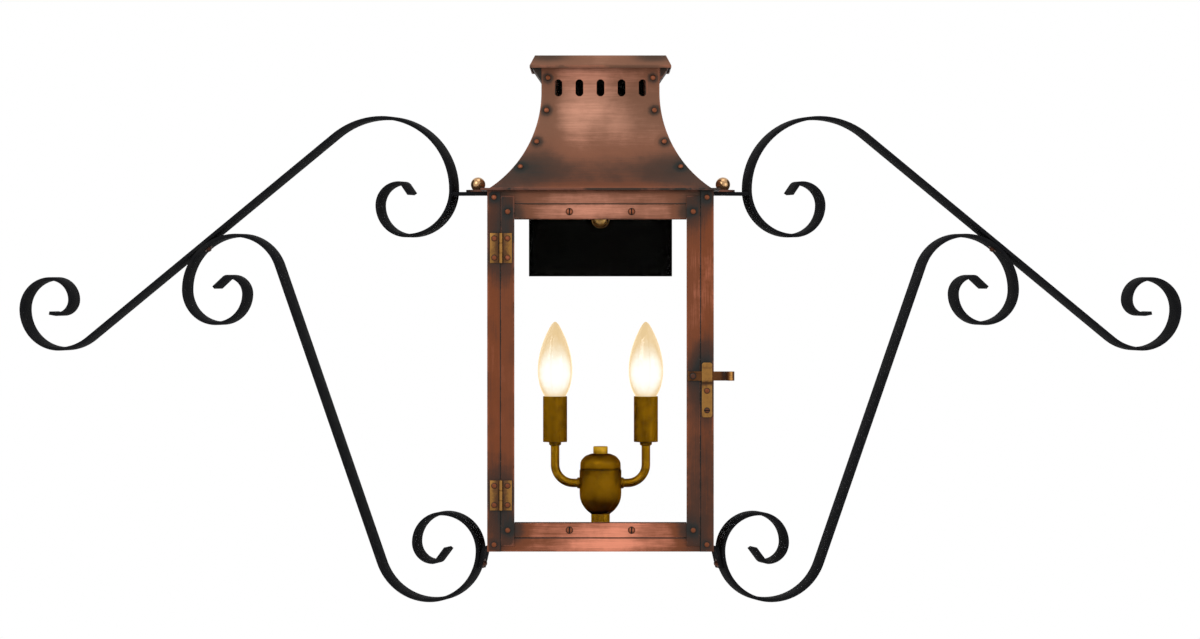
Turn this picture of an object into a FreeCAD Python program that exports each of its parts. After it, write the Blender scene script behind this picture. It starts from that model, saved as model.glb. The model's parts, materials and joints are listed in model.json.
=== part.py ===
"""Wall lantern: a copper lantern with a hinged glazed door and a two-candle lamp, between two scroll brackets.

Lengths are in millimetres. X runs to the right, Y back to the wall, Z up. Heights in this file are counted from
the underside of the lantern's frame; the finished pieces are lowered so that the origin lies on the wall, at the
centre of the wall box, in line with the stud that carries the lantern.
"""
import FreeCAD, Part
import math
import os

V = FreeCAD.Vector
X_AXIS, Y_AXIS, Z_AXIS = V(1, 0, 0), V(0, 1, 0), V(0, 0, 1)

# Lantern frame
body_width = 204.0
wall_gap = 14.0
frame_height = 325.5
sheet = 1.2
post_face = 12.2
rail_face = 12.6
rivet_head_radius = 2.5
rivet_head_height = 1.3
head_top_share = 0.55
fastener_sides = 8

# Clearances and cutting
seam_gap = 0.4
side_seam_gap = 0.3
running_clearance = 0.05
seat_clearance = 0.1
glass_clearance = 0.2
overrun = 2.0
hole_reach = 8.0

# Glazing and floor
glass_thickness = 2.4
upstand_height = 8.0
rear_glass_lap = 6.0
clip_width = 8.0
clip_foot = 5.0
clip_reach = 10.0
clip_height_shares = (0.28, 0.72)

# Brim, roof and chimney
brim_thickness = 2.0
brim_overhang = 6.0
ear_out = 22.0
ear_radius = 17.0
roof_sheet = 1.0
roof_inset = 2.0
chimney_width = 107.6
roof_curve_height = 88.5
chimney_height = 27.0
hip_flange = 11.4
hip_rivet_inset = 6.0
hip_rivet_height_shares = (0.17, 0.37, 0.62, 0.877)
slot_count = 5
slot_pitch = 19.2
slot_width = 7.1
slot_length = 15.5
slot_corner = 2.2
slot_centre_above_curve = 3.6

# Chimney cap
cap_width = 128.8
cap_top_width = 119.2
cap_slope_height = 9.3
cap_lip = 2.2
cap_top_above_chimney = 5.9
skirt_height = 14.0

# Door
door_margin = 5.0
stile_face = 12.0
door_screw_spacing = 56.0
door_screw_radius = 3.1
door_screw_height = 1.6
screw_shank_radius = 1.5
slot_cut_width = 0.9
slot_cut_depth = 0.7
holder_sheet = 1.0
holder_lap = 5.5
door_glass_lap = 4.5

# Hinges
hinge_height = 27.0
hinge_leaf_reach = 9.9
hinge_leaf_thickness = 0.9
knuckle_radius = 1.6
hinge_pin_radius = 0.8
knuckle_gap = 0.3
knuckle_sides = 8
hinge_rivet_out = 6.0
hinge_rivet_rise = 8.7
lower_hinge_height = 50.7
upper_hinge_below_top = 52.1

# Latch
latch_height = 158.2
lever_width = 8.3
lever_thickness = 1.5
lever_beyond_post = 15.0
lever_heel = 4.7
lever_curl_radius = 2.7
lever_curl_turn = 250.0
pivot_head_radius = 3.0
pivot_shank_radius = 1.6
catch_width = 9.3
catch_sheet = 1.1
catch_leg = 29.8
catch_tongue = 16.4
catch_bend_radius = 1.5
catch_bend_angle = 45.0
catch_corner_radius = 2.2
catch_rivet_drop = 13.3
catch_screw_drop = 30.9
catch_screw_radius = 2.7

# Lamp
stem_radius = 8.6
stem_bore_radius = 3.0
stem_below = 5.0
locknut_radius = 12.5
locknut_thickness = 3.6
locknut_sides = 6
stem_top = 28.6
cluster_radius = 19.3
cluster_seam = 69.7
cluster_foot_radius = 9.6
cluster_foot_curve = ((15.2, 31.2), (18.4, 36.5), (19.3, 43.0))
cluster_cap_top = 84.0
cluster_cap_curve = ((18.2, 77.2), (14.4, 81.8))
cluster_cap_top_radius = 8.4
cluster_lip = 0.6
cluster_lip_height = 2.4
knob_radius = 6.65
knob_height = 6.9
knob_side = 4.9
arm_height = 57.1
arm_radius = 3.95
arm_bend_radius = 17.0
arm_reach = 41.9
arm_bend_steps = 6
arm_seat_depth = 4.0
tube_sides = 12
arm_flange_radius = 5.1
arm_flange_thickness = 2.8
cup_radius = 5.6
cup_base = 92.2
sleeve_base = 95.0
sleeve_height = 42.1
sleeve_radius = 11.1
sleeve_wall = 0.8
socket_radius = 9.0
socket_height = 34.0
socket_floor = 14.5
bulb_base_radius = 6.0
bulb_base_height = 21.5
bulb_contact_radius = 2.4
bulb_contact_height = 2.0
bulb_radius = 16.05
bulb_glass_height = 74.0
bulb_wall = 0.8
bulb_clearance = 0.3
bulb_outline_shares = ((0.12, 0.55), (0.25, 0.87), (0.40, 1.0), (0.58, 0.90), (0.76, 0.61), (0.92, 0.25))

# Wall mounting
back_plate_width = 135.4
back_plate_height = 77.8
back_plate_sheet = 1.5
nut_below_top = 23.9
mounting_stud_radius = 4.75
cup_washer_radius = 8.7
cup_washer_foot_radius = 7.4
cup_washer_depth = 4.0
cup_washer_wall = 1.0
wall_nut_radius = 6.2
wall_nut_grip = 3.5
wall_nut_dome = 3.4
crossbar_length = 104.0
crossbar_width = 19.0
crossbar_thickness = 2.5
box_screw_spacing = 79.4
box_slot_length = 14.3
box_slot_radius = 2.4

# Scroll brackets
bar_width = 25.4
bar_thickness = 3.2
bracket_root_out = 18.0
sweep_back = 13.3
upper_foot_out = 369.7
upper_foot_below_top = 136.4
upper_straight = 306.6
upper_slope = 38.15
outer_curl_radius = 46.0
outer_curl_shares = (1.0, 0.81, 0.626, 0.43, 0.296)
outer_tail_turn = 10.0
outer_tail = 6.0
inner_curl_radius = 75.0
inner_curl_shares = (1.0, 0.889, 0.566, 0.375, 0.274)
inner_tail_turn = 55.0
inner_tail = 9.7
joint_from_foot = 143.4
bar_joint_gap = 0.1
base_bolt_inset = 8.4567
base_bolt_drop = 15.7996
fit_rounds = 40
middle_curl_radius = 42.3
middle_curl_shares = (1.0, 1.2, 0.742, 0.651, 0.384)
middle_tail_turn = 42.0
middle_tail = 13.4
base_curl_radius = 51.2
base_curl_shares = (1.0, 0.902, 0.664, 0.525, 0.353)
base_tail_turn = 53.0
base_tail = 13.5
tail_bend_radius = 5.2
strap_thickness = 3.2
weld_gap = 0.25
bolt_head_radius = 4.4
bolt_head_height = 2.6
bolt_shank_radius = 2.5
bolt_end_radius = 3.2
bolt_end_height = 2.4
lug_thickness = 3.0
lug_lap = 15.41316
lug_drop = 17.0
lug_width = 20.0
lug_bend_radius = 4.0
lower_bolt_steps = 1.5
ball_nut_radius = 6.75
ball_nut_sink = 1.85
stud_radius = 2.4
ball_rings = 5
nut_sides = 12
turned_sides = 16
bend_step = 9.0

# Places that follow from the sizes
half = body_width / 2
rear = -wall_gap
front = rear - body_width
middle = (rear + front) / 2
top = frame_height
brim_top = top + brim_thickness
upper_hinge_height = top - upper_hinge_below_top
lever_tip = half + lever_beyond_post
ear_reach = half + ear_out
roof_base_width = body_width - 2 * roof_inset
bracket_root = half + bracket_root_out
nut_height = top - nut_below_top
curve_top = brim_top + roof_curve_height
chimney_top = curve_top + chimney_height
rail_low = rail_face
rail_high = top - rail_face
glass_slot = glass_thickness + 2 * glass_clearance
wall_inside = half - 2 * sheet
retainer_inside = wall_inside - glass_slot
opening_half = half - post_face
hinge_x = -opening_half + side_seam_gap / 2
hinge_y = front - knuckle_radius
stile_outer = opening_half - side_seam_gap
door_low = rail_low + seam_gap
door_high = rail_high - seam_gap


def box(xs, ys, zs):
    """A block between two places along each axis."""
    return Part.makeBox(xs[1] - xs[0], ys[1] - ys[0], zs[1] - zs[0], V(xs[0], ys[0], zs[0]))


def rod(start, direction, radius, length):
    return Part.makeCylinder(radius, length, start, direction)


def mirrored(shape):
    """The same piece on the other side of the lantern."""
    return shape.mirror(V(0, 0, 0), X_AXIS)


def pair(shape):
    return Part.makeCompound([shape, mirrored(shape)])


def turned_back(shape):
    """The same piece at the rear instead of the front."""
    return shape.mirror(V(0, middle, 0), Y_AXIS)


def half_turned(shape):
    """The same piece turned to the far side of the chimney's axis."""
    shape.rotate(V(0, middle, 0), Z_AXIS, 180)
    return shape


def prism(points, depth):
    """A closed outline pushed along the vector depth."""
    outline = Part.makePolygon(list(points) + [points[0]])
    return Part.Face(outline).extrude(depth)


def placed(shape, seat, out):
    """A piece drawn standing on the origin, moved to its seat and turned to point outward."""
    copy = shape.copy()
    copy.Placement = FreeCAD.Placement(seat, FreeCAD.Rotation(Z_AXIS, out))
    return copy


def skinned(loops):
    """A solid whose flat faces join closed loops of points, one after another."""
    outlines = [loops[0], loops[-1]]
    for lower, upper in zip(loops, loops[1:]):
        for i in range(len(lower)):
            j = (i + 1) % len(lower)
            outlines.append([lower[i], lower[j], upper[j], upper[i]])
    faces = [Part.Face(Part.makePolygon(outline + outline[:1])) for outline in outlines]
    return Part.Solid(Part.Shell(faces)).removeSplitter()


def faceted(rings, sides=fastener_sides):
    """A small turned piece drawn with flat sides: rings of (radius, height) from its lower end to its upper end."""
    turns = [2 * math.pi * i / sides for i in range(sides)]
    return skinned([[V(radius * math.cos(turn), radius * math.sin(turn), height) for turn in turns]
                    for radius, height in rings])


def bent_tube(route, radius, sides):
    """A rod with flat sides, mitred along a route of points in the XZ plane."""
    turns = [2 * math.pi * i / sides for i in range(sides)]
    runs = [(b - a).normalize() for a, b in zip(route, route[1:])]
    loops = []
    for index, point in enumerate(route):
        before, after = runs[max(index - 1, 0)], runs[min(index, len(runs) - 1)]
        along = (before + after).normalize()
        across = V(-along.z, 0, along.x) * (radius / along.dot(before))
        loops.append([point + across * math.cos(turn) + Y_AXIS * (radius * math.sin(turn)) for turn in turns])
    return skinned(loops)


def shank(radius, length, sides=fastener_sides):
    """A plain shank whose corners lie on its radius."""
    return faceted([(radius, 0), (radius, length)], sides)


def hole(seat, out, radius, sides=fastener_sides):
    """Clears a shank of this radius, through whatever lies within reach behind the seat."""
    flat_radius = (radius + running_clearance) / math.cos(math.pi / sides)
    reach = shank(flat_radius, 2 * hole_reach, sides)
    return placed(reach, seat - out * hole_reach, out)


def rivet(seat, out):
    """The head of a set rivet, whose shank is one with the sheets that it fills."""
    head = faceted([(rivet_head_radius, 0), (rivet_head_radius * head_top_share, rivet_head_height)])
    return placed(head, seat, out)


def fastener(head_radius, head_height, shank_radius, grip, end_radius, end_height):
    """A bolt with a head on Z = 0, its shank below, and a peened end or nut under what it holds."""
    return faceted([
        (end_radius * head_top_share, -grip - end_height),
        (end_radius, -grip),
        (shank_radius, -grip),
        (shank_radius, 0),
        (head_radius, 0),
        (head_radius * head_top_share, head_height),
    ])


def slotted(head_radius, head_height, shank_radius, grip, across):
    """A screw whose slot runs along the direction across."""
    screw = faceted([(shank_radius, -grip), (shank_radius, 0), (head_radius, 0),
                     (head_radius * head_top_share, head_height)])
    groove = box((-head_radius, head_radius), (-slot_cut_width / 2, slot_cut_width / 2),
                 (head_height - slot_cut_depth, head_height + overrun))
    groove.rotate(V(0, 0, 0), Z_AXIS, across)
    return screw.cut(groove)


def turn_about(point, centre, degrees):
    """A point of the XZ plane, turned about a centre."""
    angle = math.radians(degrees)
    across, up = point.x - centre.x, point.z - centre.z
    return V(centre.x + across * math.cos(angle) - up * math.sin(angle), 0,
             centre.z + across * math.sin(angle) + up * math.cos(angle))


def heading_vector(heading):
    return V(math.cos(math.radians(heading)), 0, math.sin(math.radians(heading)))


def left_of(heading):
    return V(-math.sin(math.radians(heading)), 0, math.cos(math.radians(heading)))


def step(point, heading, move):
    """Follows one move of a bent bar: ("line", length) or ("arc", radius, turn). Gives centre, point, heading."""
    if move[0] == "line":
        return None, point + heading_vector(heading) * move[1], heading
    side = 1 if move[2] > 0 else -1
    centre = point + left_of(heading) * (side * move[1])
    return centre, turn_about(point, centre, move[2]), heading + move[2]


def walk(point, heading, moves):
    for move in moves:
        _, point, heading = step(point, heading, move)
    return point, heading


def reversed_moves(moves):
    """The same bends, followed from the far end."""
    back = []
    for move in reversed(moves):
        back.append(move if move[0] == "line" else ("arc", move[1], -move[2]))
    return back


def bent_bar(point, heading, moves, thickness, width):
    """A flat bar bent along a path in the XZ plane, in small flat steps, its width centred on Y = 0."""
    sides = {1: [point + left_of(heading) * (thickness / 2)], -1: [point - left_of(heading) * (thickness / 2)]}
    for move in moves:
        small_moves = [move]
        if move[0] == "arc":
            count = max(1, round(abs(move[2]) / bend_step))
            small_moves = [("arc", move[1], move[2] / count)] * count
        for small_move in small_moves:
            _, point, heading = step(point, heading, small_move)
            for side, points in sides.items():
                points.append(point + left_of(heading) * (side * thickness / 2))
    outline = sides[1] + sides[-1][::-1]
    bar = Part.Face(Part.makePolygon(outline + outline[:1])).extrude(Y_AXIS * width)
    bar.translate(Y_AXIS * (-width / 2))
    return bar


# Frame

def rail_rivet_seats():
    """Where the posts are riveted to the rails lapped behind them, on the left half of the front."""
    x = -half + post_face / 2
    return [V(x, front, rail_low / 2), V(x, front, top - rail_face / 2)]


def hinge_heights():
    return (lower_hinge_height, upper_hinge_height)


def post_hinge_seats():
    x = hinge_x - hinge_rivet_out
    return [V(x, front, z + s * hinge_rivet_rise) for z in hinge_heights() for s in (-1, 1)]


def catch_x():
    return half - post_face / 2


def catch_rivet_seat():
    return V(catch_x(), front, latch_height - catch_rivet_drop)


def catch_screw_seat():
    return V(catch_x(), front, latch_height - catch_screw_drop)


def plain_post():
    face = box((-half, -opening_half), (front, front + sheet), (0, top))
    flank = box((-half, -half + sheet), (front, front + post_face), (0, top))
    return face.fuse(flank).removeSplitter()


def front_post_right():
    return mirrored(plain_post()).cut(hole(catch_screw_seat(), -Y_AXIS, screw_shank_radius))


def rear_posts():
    return pair(turned_back(plain_post()))


def front_rail(low):
    inside = half - sheet
    return box((-inside, inside), (front + sheet, front + 2 * sheet), (low, low + rail_face))


def rear_rails():
    return Part.makeCompound([turned_back(front_rail(0)), turned_back(front_rail(rail_high))])


def side_rails(low):
    inside = half - sheet
    rail = box((-inside, -inside + sheet), (front + 2 * sheet, rear - 2 * sheet), (low, low + rail_face))
    return pair(rail)


def frame_rivets():
    corners = [rivet(seat, -Y_AXIS) for seat in rail_rivet_seats()]
    corners += [mirrored(one) for one in corners]
    corners += [turned_back(one) for one in corners]
    hinges = [rivet(seat - Y_AXIS * hinge_leaf_thickness, -Y_AXIS) for seat in post_hinge_seats()]
    catch = rivet(catch_rivet_seat() - Y_AXIS * catch_sheet, -Y_AXIS)
    return Part.makeCompound([*corners, *hinges, catch])


# Floor and glass

def floor_pan():
    wide = wall_inside
    deep_front, deep_rear = front + 2 * sheet, rear - 2 * sheet
    base = box((-wide, wide), (deep_front, deep_rear), (0, sheet))
    inner = retainer_inside
    ring_y = (middle - inner, middle + inner)
    outer = box((-inner, inner), ring_y, (0, sheet + upstand_height))
    hollow = box((-inner + sheet, inner - sheet), (ring_y[0] + sheet, ring_y[1] - sheet),
                 (sheet, sheet + upstand_height + overrun))
    pan = base.fuse(outer).removeSplitter().cut(hollow)
    return pan.cut(hole(V(0, middle, 0), Z_AXIS, stem_radius, turned_sides))


def side_glass():
    outer = wall_inside - glass_clearance
    depth = (front + 2 * sheet + glass_clearance, rear - 2 * sheet - glass_clearance)
    pane = box((-outer, -outer + glass_thickness), depth, (sheet, top - glass_clearance))
    return pair(pane)


def rear_glass():
    inner = retainer_inside - sheet - glass_clearance
    y = rear - 2 * sheet - glass_clearance
    high = back_plate_bottom() + rear_glass_lap
    return box((-inner, inner), (y - glass_thickness, y), (sheet, high))


def glass_clips():
    """Bent tabs soldered to the posts, which hold the upright edges of the fixed panes."""
    face = -retainer_inside
    near = front + sheet
    clips = []
    for share in clip_height_shares:
        z = (top * share - clip_width / 2, top * share + clip_width / 2)
        foot = box((face, face + clip_foot), (near, near + sheet), z)
        leaf = box((face, face + sheet), (near, near + clip_reach), z)
        clips.append(foot.fuse(leaf).removeSplitter())
    clips += [turned_back(one) for one in clips]
    clips += [mirrored(one) for one in clips]
    return Part.makeCompound(clips)


# Brim and roof

def ear_centre():
    return ear_reach - ear_radius


def stud_x():
    return (ear_reach + half) / 2


def brim_plate():
    wide = half + brim_overhang
    plate = box((-wide, wide), (middle - wide, middle + wide), (top, brim_top))
    ear = rod(V(ear_centre(), middle, top), Z_AXIS, ear_radius, brim_thickness)
    plate = plate.fuse(ear).fuse(mirrored(ear)).removeSplitter()
    inner = retainer_inside
    lip = box((-inner, inner), (middle - inner, middle + inner), (top - upstand_height, top))
    throat = box((-inner + sheet, inner - sheet), (middle - inner + sheet, middle + inner - sheet),
                 (top - upstand_height - overrun, brim_top + overrun))
    plate = plate.fuse(lip).removeSplitter().cut(throat)
    return plate.cut(pair(hole(V(stud_x(), middle, top), Z_AXIS, stud_radius)))


def roof_arc_radius(inward=0.0):
    """The flare is one arc, upright where it meets the chimney and ending at the roof's base."""
    spread = (roof_base_width - chimney_width) / 2
    radius = (roof_curve_height ** 2 + spread ** 2) / (2 * spread)
    return radius + inward


def roof_half_at(z, inward=0.0):
    """How far the roof's face stands from the middle at a height."""
    if z >= curve_top:
        return chimney_width / 2 - inward
    radius = roof_arc_radius(inward)
    return chimney_width / 2 + roof_arc_radius() - math.sqrt(radius ** 2 - (curve_top - z) ** 2)


def roof_skin(outer, inner):
    """The front's bent sheet, full width, between two depths below the roof's face."""
    def place(z, inward):
        return V(0, middle - roof_half_at(z, inward), z)
    between = (brim_top + curve_top) / 2
    edges = [
        Part.LineSegment(place(chimney_top, outer), place(curve_top, outer)),
        Part.Arc(place(curve_top, outer), place(between, outer), place(brim_top, outer)),
        Part.LineSegment(place(brim_top, outer), place(brim_top, inner)),
        Part.Arc(place(brim_top, inner), place(between, inner), place(curve_top, inner)),
        Part.LineSegment(place(curve_top, inner), place(chimney_top, inner)),
        Part.LineSegment(place(chimney_top, inner), place(chimney_top, outer)),
    ]
    face = Part.Face(Part.Wire(Part.__sortEdges__([edge.toShape() for edge in edges])))
    skin = face.extrude(X_AXIS * roof_base_width)
    skin.translate(X_AXIS * (-roof_base_width / 2))
    return skin


def hip_wedge(shift):
    """The space in front of the two hips, drawn in by a shift."""
    reach = roof_base_width
    apex = V(0, middle - shift, brim_top - overrun)
    points = [apex, apex + V(-reach, -reach, 0), apex + V(reach, -reach, 0)]
    return prism(points, Z_AXIS * (chimney_top - brim_top + 2 * overrun))


def hip_rivet_seats():
    seats = []
    for share in hip_rivet_height_shares:
        z = brim_top + share * (chimney_top - brim_top)
        out = roof_half_at(z)
        slope = 0.0
        if z < curve_top:
            slope = math.asin((curve_top - z) / roof_arc_radius())
        normal = V(0, -math.cos(slope), math.sin(slope))
        for side in (-1, 1):
            seat = V(side * (out - hip_rivet_inset), middle - out, z)
            seats.append((seat + normal * seat_clearance, normal))
    return seats


def plain_panel():
    return roof_skin(0.0, roof_sheet).common(hip_wedge(0.0))


def roof_panel_front():
    """The only panel with vent slots, high up on the chimney."""
    panel = plain_panel()
    z = curve_top + slot_centre_above_curve
    y = middle - chimney_width / 2 - overrun
    wide, tall = slot_width / 2, slot_length / 2
    outline = [(wide, tall - slot_corner), (wide - slot_corner, tall), (slot_corner - wide, tall),
               (-wide, tall - slot_corner)]
    outline += [(-across, -up) for across, up in outline]
    for index in range(slot_count):
        x = (index - (slot_count - 1) / 2) * slot_pitch
        corners = [V(x + across, y, z + up) for across, up in outline]
        panel = panel.cut(prism(corners, Y_AXIS * (roof_sheet + 2 * overrun)))
    return panel


def side_panel():
    """The left panel, with the flanges that pass behind the front and rear panels along the hips."""
    panel = plain_panel()
    panel.rotate(V(0, middle, 0), Z_AXIS, -90)
    tucked = roof_skin(roof_sheet + seat_clearance, 2 * roof_sheet + seat_clearance)
    flange = tucked.common(hip_wedge(-roof_sheet)).cut(hip_wedge(hip_flange))
    flange = flange.common(box((-roof_base_width, 0), (front - overrun, middle), (brim_top, chimney_top)))
    return panel.fuse(flange).fuse(turned_back(flange)).removeSplitter()


def roof_rivets():
    ones = [rivet(seat, normal) for seat, normal in hip_rivet_seats()]
    return Part.makeCompound(ones + [turned_back(one) for one in ones])


def frustum(low_half, low, high_half, high):
    """A square block that narrows upward about the chimney's axis."""
    def ring(size, z):
        corners = [V(-size, middle - size, z), V(size, middle - size, z), V(size, middle + size, z),
                   V(-size, middle + size, z)]
        return Part.makePolygon(corners + corners[:1])
    return Part.makeLoft([ring(low_half, low), ring(high_half, high)], True, True)


def chimney_cap():
    high = chimney_top + cap_top_above_chimney
    low = high - cap_slope_height
    lip = low - cap_lip
    wide, narrow = cap_width / 2, cap_top_width / 2
    outer = frustum(wide, low, narrow, high).fuse(
        box((-wide, wide), (middle - wide, middle + wide), (lip, low))).removeSplitter()
    inside = wide - roof_sheet
    inner = frustum(inside, low, narrow - roof_sheet, high - roof_sheet).fuse(
        box((-inside, inside), (middle - inside, middle + inside), (lip - overrun, low))).removeSplitter()
    return outer.cut(inner)


def cap_skirts():
    """Folded sheets that close the underside of the cap at each side and carry it on the chimney."""
    reach = cap_width / 2 - roof_sheet - seat_clearance
    root = chimney_width / 2
    high = chimney_top + cap_top_above_chimney - cap_slope_height
    length = chimney_width / 2

    def trough(inset, lift):
        low = high - skirt_height + lift * 2
        points = [V(-root - inset, middle - length + inset, low), V(-root - inset, middle - length + inset, high + lift),
                  V(-reach + inset * 1.3, middle - length + inset, high + lift)]
        return prism(points, Y_AXIS * 2 * (length - inset))
    skirt = trough(0.0, 0.0).cut(trough(roof_sheet, overrun / 2))
    return pair(skirt)


def ball_nuts():
    """Turned balls with a flat foot, standing on the ears."""
    foot = math.asin((ball_nut_sink - ball_nut_radius) / ball_nut_radius)
    steps = [foot + (math.pi / 2 - foot) * i / ball_rings for i in range(ball_rings)]
    rings = [(ball_nut_radius * math.cos(a), ball_nut_radius * (math.sin(a) - math.sin(foot))) for a in steps]
    rings.append((stud_radius / 2, ball_nut_radius * (1 - math.sin(foot))))
    seat = V(stud_x(), middle, brim_top)
    ball = placed(faceted(rings, nut_sides), seat, Z_AXIS)
    return pair(ball.cut(placed(shank(stud_radius + seat_clearance, ball_nut_radius), seat, Z_AXIS)))


def ball_nut_studs():
    low = top - strap_thickness
    length = strap_thickness + brim_thickness + ball_nut_radius - seat_clearance
    return pair(placed(shank(stud_radius, length), V(stud_x(), middle, low), Z_AXIS))


# Door

def door_rivet_seats():
    x = stile_outer - stile_face / 2
    heights = ((door_low + door_low + rail_face) / 2, (door_high + door_high - rail_face) / 2)
    return [V(side * x, front, z) for side in (-1, 1) for z in heights]


def door_hinge_seats():
    x = hinge_x + hinge_rivet_out
    return [V(x, front, z + s * hinge_rivet_rise) for z in hinge_heights() for s in (-1, 1)]


def pivot_seat():
    return V(stile_outer - stile_face / 2 - side_seam_gap, front, latch_height)


def door_stile(side):
    xs = sorted((side * stile_outer, side * (stile_outer - stile_face)))
    stile = box(xs, (front, front + sheet), (door_margin, top - door_margin))
    return stile.cut(hole(pivot_seat(), -Y_AXIS, pivot_shank_radius)) if side > 0 else stile


def door_screw_seats():
    heights = ((door_low + door_low + rail_face) / 2, (door_high + door_high - rail_face) / 2)
    y = front + sheet
    return [V(side * door_screw_spacing / 2, y, z) for side in (-1, 1) for z in heights]


def door_rail(low):
    reach = stile_outer - side_seam_gap
    rail = box((-reach, reach), (front + sheet, front + 2 * sheet), (low, low + rail_face))
    for seat in door_screw_seats():
        rail = rail.cut(hole(seat, -Y_AXIS, screw_shank_radius))
    return rail


def door_glass():
    reach = stile_outer - stile_face + door_glass_lap
    y = front + 2 * sheet + glass_clearance
    low = door_low + rail_face - door_glass_lap
    high = door_high - rail_face + door_glass_lap
    return box((-reach, reach), (y, y + glass_thickness), (low, high))


def door_glass_holders():
    """Joggled strips screwed behind the rails: one edge on the rail, the other behind the glass."""
    flat = front + 2 * sheet
    back = flat + glass_thickness + 2 * glass_clearance
    seat = door_high - seam_gap
    step_z = door_high - rail_face + door_glass_lap + glass_clearance
    low = step_z - holder_lap
    points = [V(0, flat, seat), V(0, flat, step_z), V(0, back, step_z), V(0, back, low),
              V(0, back + holder_sheet, low), V(0, back + holder_sheet, step_z + holder_sheet),
              V(0, flat + holder_sheet, step_z + holder_sheet), V(0, flat + holder_sheet, seat)]
    reach = stile_outer - stile_face
    upper = prism(points, X_AXIS * 2 * reach)
    upper.translate(-X_AXIS * reach)
    lower = upper.mirror(V(0, 0, (door_low + door_high) / 2), Z_AXIS)
    holders = []
    for holder in (lower, upper):
        for place in door_screw_seats():
            holder = holder.cut(hole(place, -Y_AXIS, screw_shank_radius))
        holders.append(holder)
    return Part.makeCompound(holders)


def door_rivets():
    corners = [rivet(seat, -Y_AXIS) for seat in door_rivet_seats()]
    hinges = [rivet(seat - Y_AXIS * hinge_leaf_thickness, -Y_AXIS) for seat in door_hinge_seats()]
    return Part.makeCompound(corners + hinges)


def door_screws():
    screw = slotted(door_screw_radius, door_screw_height, screw_shank_radius, sheet + holder_sheet, 90)
    return Part.makeCompound([placed(screw, seat, -Y_AXIS) for seat in door_screw_seats()])


# Hinges

def knuckle_bands(middle_band):
    """Heights of a leaf's knuckles about the hinge's centre: the two ends, or the one between them."""
    third = hinge_height / 6
    if middle_band:
        return [(-third + knuckle_gap / 2, third - knuckle_gap / 2)]
    ends = (third + knuckle_gap / 2, hinge_height / 2)
    return [ends, (-ends[1], -ends[0])]


def hinge_leaf(centre_z, side):
    """One leaf: side -1 lies on the post, side 1 on the door."""
    y = (front - hinge_leaf_thickness, front)
    clear = side * (knuckle_radius + knuckle_gap)
    plate_x = sorted((hinge_x + clear, hinge_x + side * hinge_leaf_reach))
    leaf = box(plate_x, y, (centre_z - hinge_height / 2, centre_z + hinge_height / 2))
    for low, high in knuckle_bands(side > 0):
        web_x = sorted((hinge_x, plate_x[0] if side > 0 else plate_x[1]))
        leaf = leaf.fuse(box(web_x, y, (centre_z + low, centre_z + high)))
        knuckle = shank(knuckle_radius, high - low, knuckle_sides)
        leaf = leaf.fuse(placed(knuckle, V(hinge_x, hinge_y, centre_z + low), Z_AXIS))
        bore_radius = (hinge_pin_radius + running_clearance) / math.cos(math.pi / knuckle_sides)
        bore = shank(bore_radius, high - low + 2 * overrun, knuckle_sides)
        leaf = leaf.cut(placed(bore, V(hinge_x, hinge_y, centre_z + low - overrun), Z_AXIS))
    return leaf.removeSplitter()


def hinge_leaves(side):
    return Part.makeCompound([hinge_leaf(z, side) for z in hinge_heights()])


def hinge_pins():
    return Part.makeCompound([rod(V(hinge_x, hinge_y, z - hinge_height / 2), Z_AXIS, hinge_pin_radius, hinge_height)
                              for z in hinge_heights()])


# Latch

def laid_flat(shape, seat):
    """Lays a bar drawn in the XZ plane down on the front: its Z becomes the way out, its width stands up."""
    shape.rotate(V(0, 0, 0), X_AXIS, 90)
    shape.translate(seat)
    return shape


def latch_lever():
    pivot = pivot_seat()
    moves = [("line", lever_tip - pivot.x + lever_heel), ("arc", lever_curl_radius, lever_curl_turn)]
    bar = bent_bar(V(-lever_heel, 0, lever_thickness / 2), 0, moves, lever_thickness, lever_width)
    lever = laid_flat(bar, pivot)
    return lever.cut(hole(pivot, -Y_AXIS, pivot_shank_radius, knuckle_sides))


def latch_pivot():
    grip = lever_thickness + 2 * seat_clearance + sheet
    pin = fastener(pivot_head_radius, rivet_head_height, pivot_shank_radius, grip, rivet_head_radius, holder_sheet)
    pin = pin.fuse(rod(V(0, 0, -grip), Z_AXIS, pivot_shank_radius, grip))
    return placed(pin, pivot_seat() - Y_AXIS * (lever_thickness + seat_clearance), -Y_AXIS)


def latch_catch():
    """A strip bent forward and up again, in whose crook the lever rests."""
    shift = lever_thickness + 2 * glass_clearance
    bend = math.radians(catch_bend_angle)
    ramp = (shift - 2 * catch_bend_radius * (1 - math.cos(bend))) / math.sin(bend)
    rise = 2 * catch_bend_radius * math.sin(bend) + ramp * math.cos(bend)
    moves = [("line", catch_leg), ("arc", catch_bend_radius, catch_bend_angle), ("line", ramp),
             ("arc", catch_bend_radius, -catch_bend_angle), ("line", catch_tongue)]
    bar = bent_bar(V(0, 0, 0), 90, moves, catch_sheet, catch_width)
    bar.rotate(V(0, 0, 0), Z_AXIS, 90)
    foot = latch_height - lever_width / 2 - seat_clearance - rise - catch_leg
    bar.translate(V(catch_x(), front - catch_sheet / 2, foot))
    head = foot + catch_leg + rise + catch_tongue
    face = box((catch_x() - catch_width / 2, catch_x() + catch_width / 2), (front - 4 * catch_sheet, front),
               (foot, head))
    corners = [edge for edge in face.Edges if abs(edge.tangentAt(edge.FirstParameter).y) > math.cos(bend)]
    catch = bar.common(face.makeFillet(catch_corner_radius, corners))
    return catch.cut(hole(catch_screw_seat(), -Y_AXIS, screw_shank_radius))


def catch_screw():
    screw = slotted(catch_screw_radius, rivet_head_height, screw_shank_radius, catch_sheet + sheet, 0)
    return placed(screw, catch_screw_seat() - Y_AXIS * catch_sheet, -Y_AXIS)


# Lamp

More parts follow.
